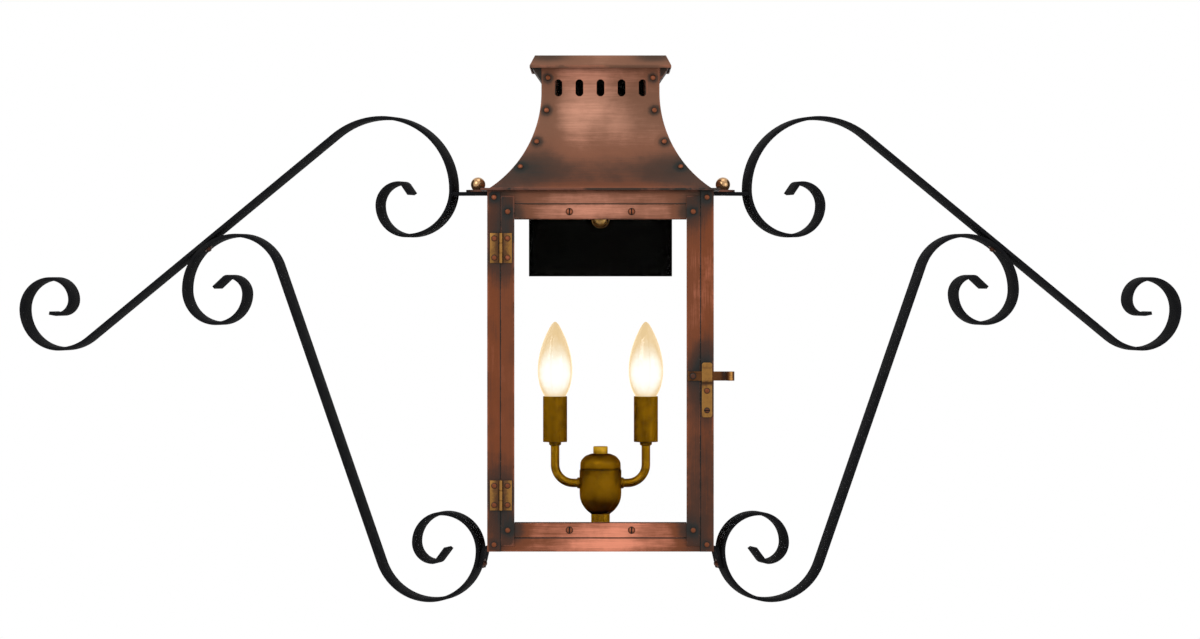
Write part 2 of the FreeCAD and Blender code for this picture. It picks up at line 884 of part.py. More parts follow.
def at_middle(shape):
    shape.translate(V(0, middle, 0))
    return shape


def lamp_stem():
    stem = faceted([(stem_radius, -stem_below), (stem_radius, stem_top)], turned_sides)
    bore = rod(V(0, 0, -stem_below - overrun), Z_AXIS, stem_bore_radius, stem_top + stem_below + 2 * overrun)
    return at_middle(stem.cut(bore))


def stem_locknut():
    nut = placed(shank(locknut_radius, locknut_thickness, locknut_sides), -Z_AXIS * locknut_thickness, Z_AXIS)
    return at_middle(nut.cut(hole(V(0, 0, 0), Z_AXIS, stem_radius, turned_sides)))


def cluster_body():
    """The lower shell of the lamp's body, with a seat for each arm."""
    body = faceted([(cluster_foot_radius, stem_top), *cluster_foot_curve, (cluster_radius, cluster_seam)],
                   turned_sides)
    for side in (-1, 1):
        seat = V(side * (cluster_radius + hole_reach - arm_seat_depth - seat_clearance), 0, arm_height)
        body = body.cut(hole(seat, X_AXIS * side, arm_radius, tube_sides))
    return at_middle(body)


def cluster_cap():
    rim = cluster_radius + cluster_lip
    cap = faceted([(rim, cluster_seam), (rim, cluster_seam + cluster_lip_height), *cluster_cap_curve,
                   (cluster_cap_top_radius, cluster_cap_top)], turned_sides)
    return at_middle(cap)


def cluster_knob():
    knob = faceted([(knob_radius, cluster_cap_top), (knob_radius, cluster_cap_top + knob_side),
                    (knob_radius * head_top_share, cluster_cap_top + knob_height)], turned_sides)
    return at_middle(knob)


def lamp_arms():
    """Each arm leaves the body level through its flange, turns up and ends in the cup that carries a candle."""
    corner = V(arm_reach - arm_bend_radius, 0, arm_height)
    centre, end = corner + Z_AXIS * arm_bend_radius, V(arm_reach, 0, cup_base)
    step_turn = 90 / arm_bend_steps
    reach = 1 / math.cos(math.radians(step_turn / 2))
    bend = [turn_about(corner, centre, step_turn * (i + 1 / 2)) for i in range(arm_bend_steps)]
    bend = [centre + (point - centre) * reach for point in bend]
    tube = bent_tube([V(cluster_radius - arm_seat_depth, 0, arm_height), *bend, end], arm_radius, tube_sides)
    cup = placed(shank(cup_radius, sleeve_base - cup_base, nut_sides), end, Z_AXIS)
    flange = placed(shank(arm_flange_radius, arm_flange_thickness, nut_sides),
                    V(cluster_radius + seat_clearance, 0, arm_height), X_AXIS)
    flange = flange.cut(hole(V(cluster_radius, 0, arm_height), X_AXIS, arm_radius, tube_sides))
    return at_middle(pair(Part.makeCompound([tube, cup, flange])))


def on_cups(shape):
    shape.translate(V(arm_reach, 0, 0))
    return at_middle(pair(shape))


def candle_sleeves():
    inner, high = sleeve_radius - sleeve_wall, sleeve_base + sleeve_height
    sleeve = faceted([(sleeve_radius, sleeve_base), (sleeve_radius, high)], turned_sides)
    return on_cups(sleeve.cut(faceted([(inner, socket_seat()), (inner, high + overrun)], turned_sides)))


def socket_seat():
    return sleeve_base + sleeve_wall


def bulb_foot():
    return socket_seat() + socket_floor


def lamp_sockets():
    """Holders standing on the cups, each with a hole for a bulb's base."""
    body = placed(shank(socket_radius, socket_height, nut_sides), V(0, 0, socket_seat()), Z_AXIS)
    well = V(0, 0, bulb_foot() + hole_reach)
    deep = hole(well, Z_AXIS, bulb_base_radius + bulb_clearance, nut_sides)
    wide = hole(well + Z_AXIS * hole_reach, Z_AXIS, bulb_base_radius + bulb_clearance, nut_sides)
    return on_cups(body.cut(deep).cut(wide))


def bulb_bases():
    base = faceted([(bulb_contact_radius, 0), (bulb_base_radius, bulb_contact_height),
                    (bulb_base_radius, bulb_base_height)], nut_sides)
    return on_cups(placed(base, V(0, 0, bulb_foot()), Z_AXIS))


def bulb_glasses():
    """Candle-shaped glass, hollow, turned from its neck to its tip."""
    low = bulb_foot() + bulb_base_height
    outer = [(bulb_base_radius, low)]
    for height_share, radius_share in bulb_outline_shares:
        outer.append((bulb_radius * radius_share, low + bulb_glass_height * height_share))
    outer.append((bulb_wall / 2, low + bulb_glass_height))
    inner = [(radius - bulb_wall, z) for radius, z in outer[1:-1:2]]
    inner.insert(0, (bulb_base_radius - bulb_wall, low + bulb_wall))
    return on_cups(faceted(outer, turned_sides).cut(faceted(inner, turned_sides)))


# Wall mounting

def back_plate_bottom():
    return top - back_plate_height - seat_clearance


def back_plate_rivet_seats():
    x = back_plate_width / 2 - post_face
    return [V(side * x, rear - 2 * sheet, top - rail_face / 2) for side in (-1, 1)]


def back_plate():
    """A shallow black pan, open to the wall, that stands the lantern off and covers the wall box."""
    wide, low, high = back_plate_width / 2, back_plate_bottom(), top - seat_clearance
    web = rear - sheet
    pan = box((-wide, wide), (web, 0), (low, high))
    wall = back_plate_sheet
    hollow = box((-wide + wall, wide - wall), (web + wall, overrun), (low + wall, high - wall))
    pan = pan.cut(hollow)
    return pan.cut(hole(V(0, web, nut_height), Y_AXIS, mounting_stud_radius, nut_sides))


def back_plate_rivets():
    return Part.makeCompound([rivet(seat, -Y_AXIS) for seat in back_plate_rivet_seats()])


def wall_crossbar():
    bar = box((-crossbar_length / 2, crossbar_length / 2), (-crossbar_thickness, 0),
              (nut_height - crossbar_width / 2, nut_height + crossbar_width / 2))
    y = -crossbar_thickness - overrun
    depth = crossbar_thickness + 2 * overrun
    bar = bar.cut(hole(V(0, 0, nut_height), Y_AXIS, mounting_stud_radius, nut_sides))
    run = box_slot_length / 2 - box_slot_radius
    for side in (-1, 1):
        x = side * box_screw_spacing / 2
        slot = box((x - run, x + run), (y, y + depth), (nut_height - box_slot_radius, nut_height + box_slot_radius))
        for end in (x - run, x + run):
            slot = slot.fuse(rod(V(end, y, nut_height), Y_AXIS, box_slot_radius, depth))
        bar = bar.cut(slot.removeSplitter())
    return bar


def nut_seat():
    return rear - sheet


def mounting_stud():
    length = -nut_seat() + cup_washer_wall + wall_nut_grip
    return placed(shank(mounting_stud_radius, length, nut_sides), V(0, 0, nut_height), -Y_AXIS)


def cup_washer():
    """A shallow cup around the nut, its rim towards the room."""
    cup = faceted([(cup_washer_foot_radius, 0), (cup_washer_radius, cup_washer_depth)], nut_sides)
    inside = faceted([(cup_washer_foot_radius - cup_washer_wall, cup_washer_wall),
                      (cup_washer_radius - cup_washer_wall, cup_washer_depth),
                      (cup_washer_radius - cup_washer_wall, cup_washer_depth + overrun)], nut_sides)
    cup = cup.cut(inside).cut(hole(V(0, 0, 0), Z_AXIS, mounting_stud_radius, nut_sides))
    return placed(cup, V(0, nut_seat(), nut_height), -Y_AXIS)


def wall_nut():
    """A domed nut on the stud's end."""
    nut = faceted([(wall_nut_radius, 0), (wall_nut_radius, wall_nut_grip),
                   (wall_nut_radius * head_top_share, wall_nut_grip + wall_nut_dome)], nut_sides)
    thread = hole(V(0, 0, wall_nut_grip - hole_reach), Z_AXIS, mounting_stud_radius, nut_sides)
    return placed(nut.cut(thread), V(0, nut_seat() - cup_washer_wall, nut_height), -Y_AXIS)


# Scroll brackets, drawn in their own plane: X out from the bracket's root, Y across the bar, Z up

def quarter_turns(radius, shares, first_turn, tail_turn, tail, side):
    """A curl: arcs that tighten, the first one levelling the straight and the others a quarter turn each."""
    moves = [("arc", radius * shares[0], side * first_turn)]
    moves += [("arc", radius * share, side * 90.0) for share in shares[1:]]
    moves.append(("arc", tail_bend_radius, side * tail_turn))
    moves.append(("line", tail))
    return moves


def upper_curls():
    outer = quarter_turns(outer_curl_radius, outer_curl_shares, upper_slope, outer_tail_turn, outer_tail, 1)
    inner = quarter_turns(inner_curl_radius, inner_curl_shares, upper_slope, inner_tail_turn, inner_tail, 1)
    return outer, inner


def lower_curls(slope):
    middle_one = quarter_turns(middle_curl_radius, middle_curl_shares, slope, middle_tail_turn, middle_tail, -1)
    base_one = quarter_turns(base_curl_radius, base_curl_shares, slope, base_tail_turn, base_tail, -1)
    return middle_one, base_one


def scroll_bar(foot, heading, straight, curls, thickness=bar_thickness, width=bar_width):
    """A straight from its foot along a heading, with a curl at each end."""
    start, back = walk(foot, heading + 180, curls[0])
    moves = reversed_moves(curls[0]) + [("line", straight)] + curls[1]
    return bent_bar(start, back + 180, moves, thickness, width)


def upper_foot():
    return V(upper_foot_out, 0, top - upper_foot_below_top)


def upper_heading():
    return 180 - upper_slope


def joint_place():
    """The middle of the upper bar where the lower one meets it."""
    return upper_foot() + heading_vector(upper_heading()) * joint_from_foot


def lower_foot(slope):
    """The top of the lower straight, set so that the middle curl's second arc touches the upper bar."""
    arc = middle_curl_radius * middle_curl_shares[1]
    away = left_of(upper_heading())
    centre = joint_place() + away * (bar_thickness + bar_joint_gap + arc)
    crest = centre + Z_AXIS * arc
    start, _ = walk(crest, 180, [("arc", middle_curl_radius, slope)])
    return start


def base_curl_bolt(foot, slope, straight):
    """The middle of the lower bar where the lug is bolted, and the way the bar runs there."""
    point, heading = walk(foot, 180 + slope, [("line", straight), lower_curls(slope)[1][0]])
    arc = base_curl_radius * base_curl_shares[1]
    return walk(point, heading, [("arc", arc, -(90 - lower_bolt_steps * bend_step))])


def fitted_lower_bar():
    """The slope and length of the lower straight that bring its bolt to its place beside the floor."""
    bolt = V(-base_bolt_inset, 0, -base_bolt_drop)
    slope = 90.0
    for _ in range(fit_rounds):
        foot = lower_foot(slope)
        run = bolt - base_curl_bolt(foot, slope, 0)[0]
        slope = math.degrees(math.atan2(-run.z, -run.x))
    return slope, run.Length


lower_slope, lower_straight = fitted_lower_bar()


def base_bolt_pose():
    return base_curl_bolt(lower_foot(lower_slope), lower_slope, lower_straight)


def bend_sag(radius):
    """How far the middle of a flat step of a bend stands inside its arc."""
    return radius * (1 - math.cos(math.radians(bend_step / 2)))


def on_bracket(shape):
    """Takes a piece from the bracket's own plane to the right-hand side of the lantern."""
    shape.rotate(V(0, 0, 0), Z_AXIS, sweep_back)
    shape.translate(V(bracket_root, middle, 0))
    return shape


def upper_scroll_right():
    bar = scroll_bar(upper_foot(), upper_heading(), upper_straight, upper_curls())
    return on_bracket(bar.cut(hole(joint_place(), left_of(upper_heading()), bolt_shank_radius)))


def lower_scroll_right():
    bar = scroll_bar(lower_foot(lower_slope), 180 + lower_slope, lower_straight, lower_curls(lower_slope))
    bar = bar.cut(hole(joint_place(), left_of(upper_heading()), bolt_shank_radius))
    place, heading = base_bolt_pose()
    return on_bracket(bar.cut(hole(place, left_of(heading), bolt_shank_radius)))


def scroll_straps():
    """Level straps under the brim's ears, each welded to the upper bar beside it."""
    high = top
    low = high - strap_thickness
    inner = half + seat_clearance
    reach = upper_foot_out / 2
    strap = box((-bracket_root, reach), (-bar_width / 2, bar_width / 2), (low, high))
    thick = scroll_bar(upper_foot(), upper_heading(), upper_straight, upper_curls(),
                       bar_thickness + 2 * weld_gap, 2 * bar_width)
    pieces = strap.cut(thick).Solids
    strap = on_bracket(min(pieces, key=lambda one: one.CenterOfMass.x))
    keep = box((inner, 2 * bracket_root), (front, 0), (low - overrun, high + overrun))
    return pair(strap.common(keep).cut(hole(V(stud_x(), middle, low), Z_AXIS, stud_radius)))


def lug_bar():
    """A leaf along the lower bar, bent level to pass under the floor."""
    place, heading = base_bolt_pose()
    inward = left_of(heading)
    point = place + inward * ((bar_thickness + lug_thickness) / 2 + bar_joint_gap)
    up = heading_vector(heading)
    level_z = -lug_thickness / 2
    turn = 180 - heading
    side = 1 if turn > 0 else -1
    tangent_run = lug_bend_radius * math.tan(math.radians(abs(turn) / 2))
    climb = (level_z - point.z) / up.z - tangent_run
    drop = lug_drop - climb
    moves = [("line", drop + climb), ("arc", lug_bend_radius, side * abs(turn))]
    start = point - up * drop
    bend_end, _ = walk(start, heading, moves)
    level_leg = bend_end.x + (bracket_root_out + lug_lap) / math.cos(math.radians(sweep_back))
    return start, heading, moves + [("line", level_leg)], level_leg


def lower_lugs():
    start, heading, moves, _ = lug_bar()
    lug = bent_bar(start, heading, moves, lug_thickness, lug_width)
    place, way = base_bolt_pose()
    return pair(on_bracket(lug.cut(hole(place, left_of(way), bolt_shank_radius))))


def lug_rivets():
    """One under each lug's level leg, into the floor."""
    start, heading, moves, level_leg = lug_bar()
    end, _ = walk(start, heading, moves)
    return pair(on_bracket(rivet(V(end.x + level_leg / 2, 0, -lug_thickness), -Z_AXIS)))


def scroll_bolts():
    """The bolt through both bars of a bracket, and the one through the lower bar and its lug."""
    normal = left_of(upper_heading())
    lean = bolt_head_radius * math.sin(math.radians(bend_step / 2))
    joint_grip = 2 * (bar_thickness + seat_clearance) + bar_joint_gap + lean
    joint_grip += bend_sag(middle_curl_radius * middle_curl_shares[1])
    joint_head = joint_place() + normal * (joint_grip - bar_thickness / 2 - seat_clearance)
    place, heading = base_bolt_pose()
    inward = left_of(heading)
    base_end = seat_clearance + bend_sag(base_curl_radius * base_curl_shares[1])
    base_grip = base_end + bar_thickness + bar_joint_gap + lug_thickness + seat_clearance
    base_head = place + inward * (base_grip - bar_thickness / 2 - base_end)
    bolts = []
    for head, out, grip in ((joint_head, normal, joint_grip), (base_head, inward, base_grip)):
        bolt = fastener(bolt_head_radius, bolt_head_height, bolt_shank_radius, grip, bolt_end_radius, bolt_end_height)
        bolts.append(pair(on_bracket(placed(bolt, head, out))))
    return Part.makeCompound(bolts)


SUB_PARTS = {
    "front_post_left": plain_post,
    "front_post_right": front_post_right,
    "rear_posts": rear_posts,
    "front_rail_top": lambda: front_rail(rail_high),
    "front_rail_bottom": lambda: front_rail(0),
    "rear_rails": rear_rails,
    "side_rails_top": lambda: side_rails(rail_high),
    "side_rails_bottom": lambda: side_rails(0),
    "frame_rivets": frame_rivets,
    "floor_pan": floor_pan,
    "side_glass": side_glass,
    "rear_glass": rear_glass,
    "glass_clips": glass_clips,
    "brim_plate": brim_plate,
    "roof_panel_front": roof_panel_front,
    "roof_panel_rear": lambda: half_turned(plain_panel()),
    "roof_panel_left": side_panel,
    "roof_panel_right": lambda: half_turned(side_panel()),
    "roof_rivets": roof_rivets,
    "chimney_cap": chimney_cap,
    "cap_skirts": cap_skirts,
    "ball_nuts": ball_nuts,
    "ball_nut_studs": ball_nut_studs,
    "door_stile_left": lambda: door_stile(-1),
    "door_stile_right": lambda: door_stile(1),
    "door_rail_top": lambda: door_rail(door_high - rail_face),
    "door_rail_bottom": lambda: door_rail(door_low),
    "door_glass": door_glass,
    "door_glass_holders": door_glass_holders,
    "door_rivets": door_rivets,
    "door_screws": door_screws,
    "hinge_post_leaves": lambda: hinge_leaves(-1),
    "hinge_door_leaves": lambda: hinge_leaves(1),
    "hinge_pins": hinge_pins,
    "latch_lever": latch_lever,
    "latch_pivot": latch_pivot,
    "latch_catch": latch_catch,
    "catch_screw": catch_screw,
    "lamp_stem": lamp_stem,
    "stem_locknut": stem_locknut,
    "cluster_body": cluster_body,
    "cluster_cap": cluster_cap,
    "cluster_knob": cluster_knob,
    "lamp_arms": lamp_arms,
    "candle_sleeves": candle_sleeves,
    "lamp_sockets": lamp_sockets,
    "bulb_bases": bulb_bases,
    "bulb_glasses": bulb_glasses,
    "back_plate": back_plate,
    "back_plate_rivets": back_plate_rivets,
    "wall_crossbar": wall_crossbar,
    "mounting_stud": mounting_stud,
    "cup_washer": cup_washer,
    "wall_nut": wall_nut,
    "upper_scroll_left": lambda: mirrored(upper_scroll_right()),
    "upper_scroll_right": upper_scroll_right,
    "lower_scroll_left": lambda: mirrored(lower_scroll_right()),
    "lower_scroll_right": lower_scroll_right,
    "scroll_straps": scroll_straps,
    "scroll_lugs_and_bolts": lambda: Part.makeCompound([lower_lugs(), lug_rivets(), scroll_bolts()]),
}

os.makedirs("parts", exist_ok=True)
for name, make in SUB_PARTS.items():
    piece = make()
    piece.translate(V(0, 0, -nut_height))
    piece.exportStep("parts/" + name + ".step")
    print(name, len(piece.Solids), "solids", round(piece.Volume), "mm3", "valid" if piece.isValid() else "INVALID")
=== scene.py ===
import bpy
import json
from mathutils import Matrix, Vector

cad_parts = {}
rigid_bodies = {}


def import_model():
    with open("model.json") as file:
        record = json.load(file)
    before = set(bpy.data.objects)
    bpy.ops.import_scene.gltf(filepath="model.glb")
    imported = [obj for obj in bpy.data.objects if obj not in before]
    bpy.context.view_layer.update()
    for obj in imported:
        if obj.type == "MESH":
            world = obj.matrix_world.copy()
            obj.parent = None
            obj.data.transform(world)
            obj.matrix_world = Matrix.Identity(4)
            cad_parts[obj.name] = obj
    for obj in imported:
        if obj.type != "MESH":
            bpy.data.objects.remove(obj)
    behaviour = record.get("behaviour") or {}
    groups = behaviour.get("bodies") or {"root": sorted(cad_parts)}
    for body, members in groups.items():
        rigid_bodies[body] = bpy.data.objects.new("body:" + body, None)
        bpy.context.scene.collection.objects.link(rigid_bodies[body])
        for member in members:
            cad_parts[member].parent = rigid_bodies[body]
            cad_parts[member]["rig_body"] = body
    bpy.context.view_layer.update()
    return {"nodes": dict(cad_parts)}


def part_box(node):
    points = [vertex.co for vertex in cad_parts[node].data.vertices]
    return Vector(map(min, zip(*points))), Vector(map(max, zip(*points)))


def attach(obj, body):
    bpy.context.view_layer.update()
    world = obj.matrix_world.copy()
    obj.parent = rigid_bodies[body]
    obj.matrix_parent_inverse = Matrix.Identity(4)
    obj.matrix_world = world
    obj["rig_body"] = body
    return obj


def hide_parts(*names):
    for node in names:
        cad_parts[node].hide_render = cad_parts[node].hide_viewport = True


bl_info = {
    "name": "Wall lantern with scroll brackets",
    "version": (1, 0, 0),
    "blender": (4, 5, 0),
    "location": "3D View > Sidebar > Lantern",
    "description": "Dresses the copper wall lantern, its candle lamp and its scroll brackets",
    "category": "Add Mesh",
}

import json
import math
from functools import cache

import bmesh
import bpy
import numpy as np
from bpy.props import FloatProperty, FloatVectorProperty, IntProperty, PointerProperty
from mathutils import Matrix, Vector

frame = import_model()
NODES = frame["nodes"]
MM = 0.001
SIDES = (-1, 1)

# In mm: the case's front face, the lantern's middle, and the height of its floor's underside
FRONT, AXIS_Y, ROW = -218.0, -116.0, -301.6


def spot(x, height=0.0):
    """A place in the lantern's middle plane, by its height above the floor's underside, both in mm."""
    return Vector((x, AXIS_Y, height + ROW)) * MM


# Where things are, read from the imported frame

def islands(node):
    """The separate solids of a node, each an array of its corners."""
    mesh = NODES[node].data
    corners = np.array([v.co for v in mesh.vertices])
    keys = np.round(corners * 1e6).astype(np.int64)
    _, merged = np.unique(keys, axis=0, return_inverse=True)
    merged = merged.reshape(-1)
    above = np.arange(merged.max() + 1)

    def root(i):
        while above[i] != i:
            above[i] = above[above[i]]
            i = above[i]
        return i
    for edge in mesh.edges:
        a, b = (root(merged[vert]) for vert in edge.vertices)
        if a != b:
            above[a] = b
    roots = np.array([root(i) for i in merged])
    return [corners[roots == one] for one in sorted(set(roots.tolist()))]


def head_seats(node):
    """For each rivet head of a node: the centre of its foot and the way it faces."""
    seats = []
    for corners in islands(node):
        centre = corners.mean(axis=0)
        axis = np.linalg.svd(corners - centre)[2][2]
        heights = (corners - centre) @ axis
        levels = [corners[np.abs(heights - h) < 0.05 * MM] for h in (heights.min(), heights.max())]
        feet = [level.mean(axis=0) for level in levels]
        sizes = [np.linalg.norm(level - foot, axis=1).max() for level, foot in zip(levels, feet)]
        foot, tip = feet if sizes[0] > sizes[1] else feet[::-1]
        seats.append((Vector(foot), Vector((tip - foot) / np.linalg.norm(tip - foot))))
    return seats


def front_seats(node, head_height):
    """The same for heads that face the front, by the depth of their tips."""
    boxes = [(corners.min(axis=0), corners.max(axis=0)) for corners in islands(node)]
    return [(Vector(((low[0] + high[0]) / 2, low[1] + head_height, (low[2] + high[2]) / 2)), Vector((0, -1, 0)))
            for low, high in boxes]


# Sizes and colours that a user may change

def number(name, description, value, **how):
    return FloatProperty(name=name, description=description, default=value, **how)


def length(name, description, millimetres):
    return number(name, description, millimetres * MM, min=0.0, unit="LENGTH")


def angle(name, description, degrees):
    return number(name, description, math.radians(degrees), subtype="ANGLE")


def count(name, description, value, **how):
    return IntProperty(name=name, description=description, default=value, **how)


def colour(name, description, value):
    return FloatVectorProperty(name=name, description=description, default=value, size=3, min=0.0, max=1.0,
                               subtype="COLOR")


class LanternFinishes(bpy.types.PropertyGroup):
    """Colours of the metals, the glass and the light."""
    # The polished colours also paint highlights, and the dark and patina colours also paint shade, where the painted
    # marks call for them
    copper_polished: colour("Polished copper", "Where the brushing has bared the copper", (0.76, 0.255, 0.150))
    copper_worn: colour("Worn copper", "The copper's usual brown", (0.168, 0.049, 0.019))
    copper_dark: colour("Dark copper", "Copper in the hollows and along the joints", (0.066, 0.031, 0.021))
    # copper_pale tints the painted sheen, a painted reflection that washes the roof, cap and top rails paler
    copper_pale: colour("Pale copper", "Tint of the bloom on the roof and cap", (1.0, 1.0, 0.86))
    patina: colour("Patina", "The blackish green around rivets", (0.030, 0.029, 0.027))
    brass_polished: colour("Polished brass", "Where fingers keep the brass bright", (0.50, 0.31, 0.095))
    brass_worn: colour("Worn brass", "The brass fittings' usual colour", (0.27, 0.130, 0.031))
    brass_dark: colour("Dark brass", "Brass in the hollows", (0.10, 0.045, 0.018))
    # The lever's bright colour also paints the highlight on its curl
    lever_polished: colour("Lever, bright", "The lever's rubbed end", (0.48, 0.235, 0.06))
    lever_worn: colour("Lever, usual", "Usual brown of the lever", (0.100, 0.037, 0.010))
    lever_dark: colour("Lever, dark", "The lever's shaded bend", (0.038, 0.014, 0.006))
    ball_polished: colour("Balls, bright", "Highlights of the ball nuts", (0.72, 0.46, 0.24))
    ball_worn: colour("Balls, usual", "Usual colour of the ball nuts", (0.46, 0.27, 0.13))
    ball_dark: colour("Balls, dark", "Specks on the ball nuts", (0.12, 0.06, 0.03))
    lamp_polished: colour("Lamp brass, bright", "Highlights of the lamp cluster", (0.62, 0.35, 0.024))
    lamp_worn: colour("Lamp brass, usual", "Usual colour of the lamp cluster", (0.235, 0.108, 0.002))
    lamp_dark: colour("Lamp brass, dark", "Shaded bands of the lamp cluster", (0.050, 0.022, 0.001))
    iron: colour("Satin black", "Paint of the brackets", (0.0092, 0.0093, 0.0104))
    iron_rubbed: colour("Rubbed black", "The paint where it is rubbed", (0.0145, 0.0140, 0.0145))
    glow: colour("Bulb glow", "Colour of a lit bulb's glass", (0.80, 0.585, 0.31))
    roughness: number("Metal roughness", "How dull the brushed metal is", 0.42, min=0.0, max=1.0, subtype="FACTOR")
    # How strongly the age shows also scales the painted shade and highlights carried with it
    patina_and_shade_strength: number("Age", "How strongly the metal's age shows", 1.0, min=0.0, max=1.0, subtype="FACTOR")


class SheetSizes(bpy.types.PropertyGroup):
    """Finish of the folded sheets."""
    edge_round: length("Edge rounding", "Rounding of the sheets' edges", 0.22)
    edge_steps: count("Edge steps", "Facets across a rounded edge", 2, min=1, max=6)
    cell: length("Patina cell", "Spacing of the points that carry the patina", 3.2)
    slot_round: length("Slot rounding", "Rounding of the vent slots' corners", 1.3)


class FixingSizes(bpy.types.PropertyGroup):
    """Rivets, screws and bolts."""
    rivet_radius: length("Rivet radius", "Radius of a rivet's head", 2.75)
    rivet_height: length("Rivet height", "Height of a rivet's head", 1.3)
    screw_radius: length("Screw radius", "Radius of a door screw's head", 3.35)
    screw_height: length("Screw height", "Height of a door screw's head", 1.6)
    catch_radius: length("Catch screw radius", "Radius of the catch's screw head", 2.7)
    pivot_radius: length("Pivot radius", "Radius of the lever's pivot head", 3.0)
    slot_width: length("Slot width", "Width of a screw's slot", 0.9)
    slot_depth: length("Slot depth", "Depth of a screw's slot", 0.95)
    tilt: angle("Tilt", "How far a hammered head leans", 2.5)
    seed: count("Seed", "Seed of the heads' small differences", 7)


class BracketSizes(bpy.types.PropertyGroup):
    """The four scroll bars."""
    width: length("Bar width", "Width of the flat bar", 25.4)
    thickness: length("Bar thickness", "Thickness of the flat bar", 3.2)
    edge_round: length("Edge rounding", "Rounding of the bar's edges", 0.6)
    root: length("Root", "Distance of the bracket's plane from the lantern's middle", 120.0)
    sweep: angle("Sweep", "How far the brackets sweep back to the wall", 13.3)
    bend_step: angle("Bend step", "Turn between two points of a bend", 4.0)


class LampSizes(bpy.types.PropertyGroup):
    """The cluster, its arms, sleeves and bulbs."""
    turned_steps: count("Turned steps", "Facets around a turned piece", 64, min=12)
    arm_radius: length("Arm radius", "Radius of the bent tubes", 3.95)
    arm_bend: length("Arm bend", "Radius of the tubes' bend", 17.0)
    arm_reach: length("Arm reach", "Distance of a bulb's axis from the stem's", 41.9)
    bulb_radius: length("Bulb radius", "Widest radius of a bulb", 16.05)
    bulb_height: length("Bulb height", "Height of a bulb's glass", 74.0)
    bulb_wall: length("Bulb wall", "Thickness of a bulb's glass", 0.8)
    glow_strength: number("Glow", "How brightly the bulbs are lit", 1.0, min=0.0)


class StageSizes(bpy.types.PropertyGroup):
    """Camera, lamps and floor."""
    camera_distance: length("Camera distance", "From the wall's plane to the camera", 4218.0)
    camera_height: number("Camera height", "Above the wall nut", -48.25 * MM, unit="LENGTH")
    lens: number("Lens", "Focal length in millimetres", 133.3)
    floor_drop: length("Floor drop", "From the wall nut down to the floor", 700.0)
    floor_size: length("Floor size", "Half the floor's side", 2600.0)
    key_power: number("Key light", "Power of the key light", 26.0, unit="POWER")
    fill_power: number("Fill light", "Power of the fill light", 12.0, unit="POWER")
    top_power: number("Top light", "Power of the top light", 10.0, unit="POWER")
    sky: number("Sky", "Strength of the studio's even light", 0.62, min=0.0)


# Node trees

GEOMETRY, MATERIAL = "NodeSocketGeometry", "NodeSocketMaterial"
COLOUR, VALUE = "NodeSocketColor", "NodeSocketFloat"
SOCKETS = {int: "NodeSocketInt", float: VALUE, tuple: "NodeSocketVector"}


class Tree:
    """A node tree that grows by calls. Values are constants or sockets, in order or by the inputs' names."""

    def __init__(self, tree, target):
        self.tree, self.target = tree, target

    def fill(self, node, values):
        for key, value in (values.items() if isinstance(values, dict) else enumerate(values)):
            if isinstance(value, bpy.types.NodeSocket):
                self.tree.links.new(value, node.inputs[key])
            elif value is not None:
                node.inputs[key].default_value = value

    def node(self, kind, values=(), **settings):
        node = self.tree.nodes.new(kind)
        for key, value in settings.items():
            setattr(node, key, value)
        self.fill(node, values)
        return node

    def add(self, kind, values=(), **settings):
        """Adds a node and gives its first output."""
        return self.node(kind, values, **settings).outputs[0]

    def math(self, operation, *values):
        return self.add("ShaderNodeMath", values, operation=operation)

    def vector(self, operation, *values):
        return self.add("ShaderNodeVectorMath", values, operation=operation)

    def xyz(self, *values):
        return self.add("ShaderNodeCombineXYZ", values)

    def mix(self, share, first, second):
        return self.node("ShaderNodeMix", {0: share, 6: first, 7: second}, data_type="RGBA").outputs[2]

    def ramp(self, value, low, high, to_low=0.0, to_high=1.0):
        """A smooth step of a value from one range to another."""
        return self.add("ShaderNodeMapRange", (value, low, high, to_low, to_high), interpolation_type="SMOOTHSTEP")

    def place(self):
        return self.node("ShaderNodeTexCoord").outputs["Object"]

    def carried(self, name):
        """A value that the mesh's corners carry."""
        return self.node("ShaderNodeAttribute", attribute_name=name).outputs["Fac"]

    def noise(self, where, scale, detail, rough=0.5):
        return self.add("ShaderNodeTexNoise", {"Vector": where, "Scale": scale, "Detail": detail, "Roughness": rough})

    def finish(self, values):
        """Fills the group's outputs, or the material's shader."""
        self.fill(self.target, values)

    def shade(self, values, height, strength, distance):
        """Fills the shader, with a bump of a height."""
        bump = self.add("ShaderNodeBump", {"Strength": strength, "Distance": distance, "Height": height})
        self.finish({**values, "Normal": bump})

    def deliver(self, geometry, material):
        """Fills a geometry group's output with a plain shape of one material."""
        plain = self.add("GeometryNodeRealizeInstances", {"Geometry": geometry})
        self.finish([self.add("GeometryNodeSetMaterial", {"Geometry": plain, "Material": material})])


def new_group(name, inputs, outputs, kind="ShaderNodeTree"):
    """An empty node group and its inputs. An input is a default value, or a kind of socket that has none."""
    tree = bpy.data.node_groups.new(name, kind)
    for label, value in inputs.items():
        plain = isinstance(value, str)
        socket = tree.interface.new_socket(name=label, in_out="INPUT",
                                           socket_type=value if plain else SOCKETS[type(value)])
        if not plain:
            socket.default_value = value
    for label, socket_type in outputs.items():
        tree.interface.new_socket(name=label, in_out="OUTPUT", socket_type=socket_type)
    return Tree(tree, tree.nodes.new("NodeGroupOutput")), tree.nodes.new("NodeGroupInput").outputs


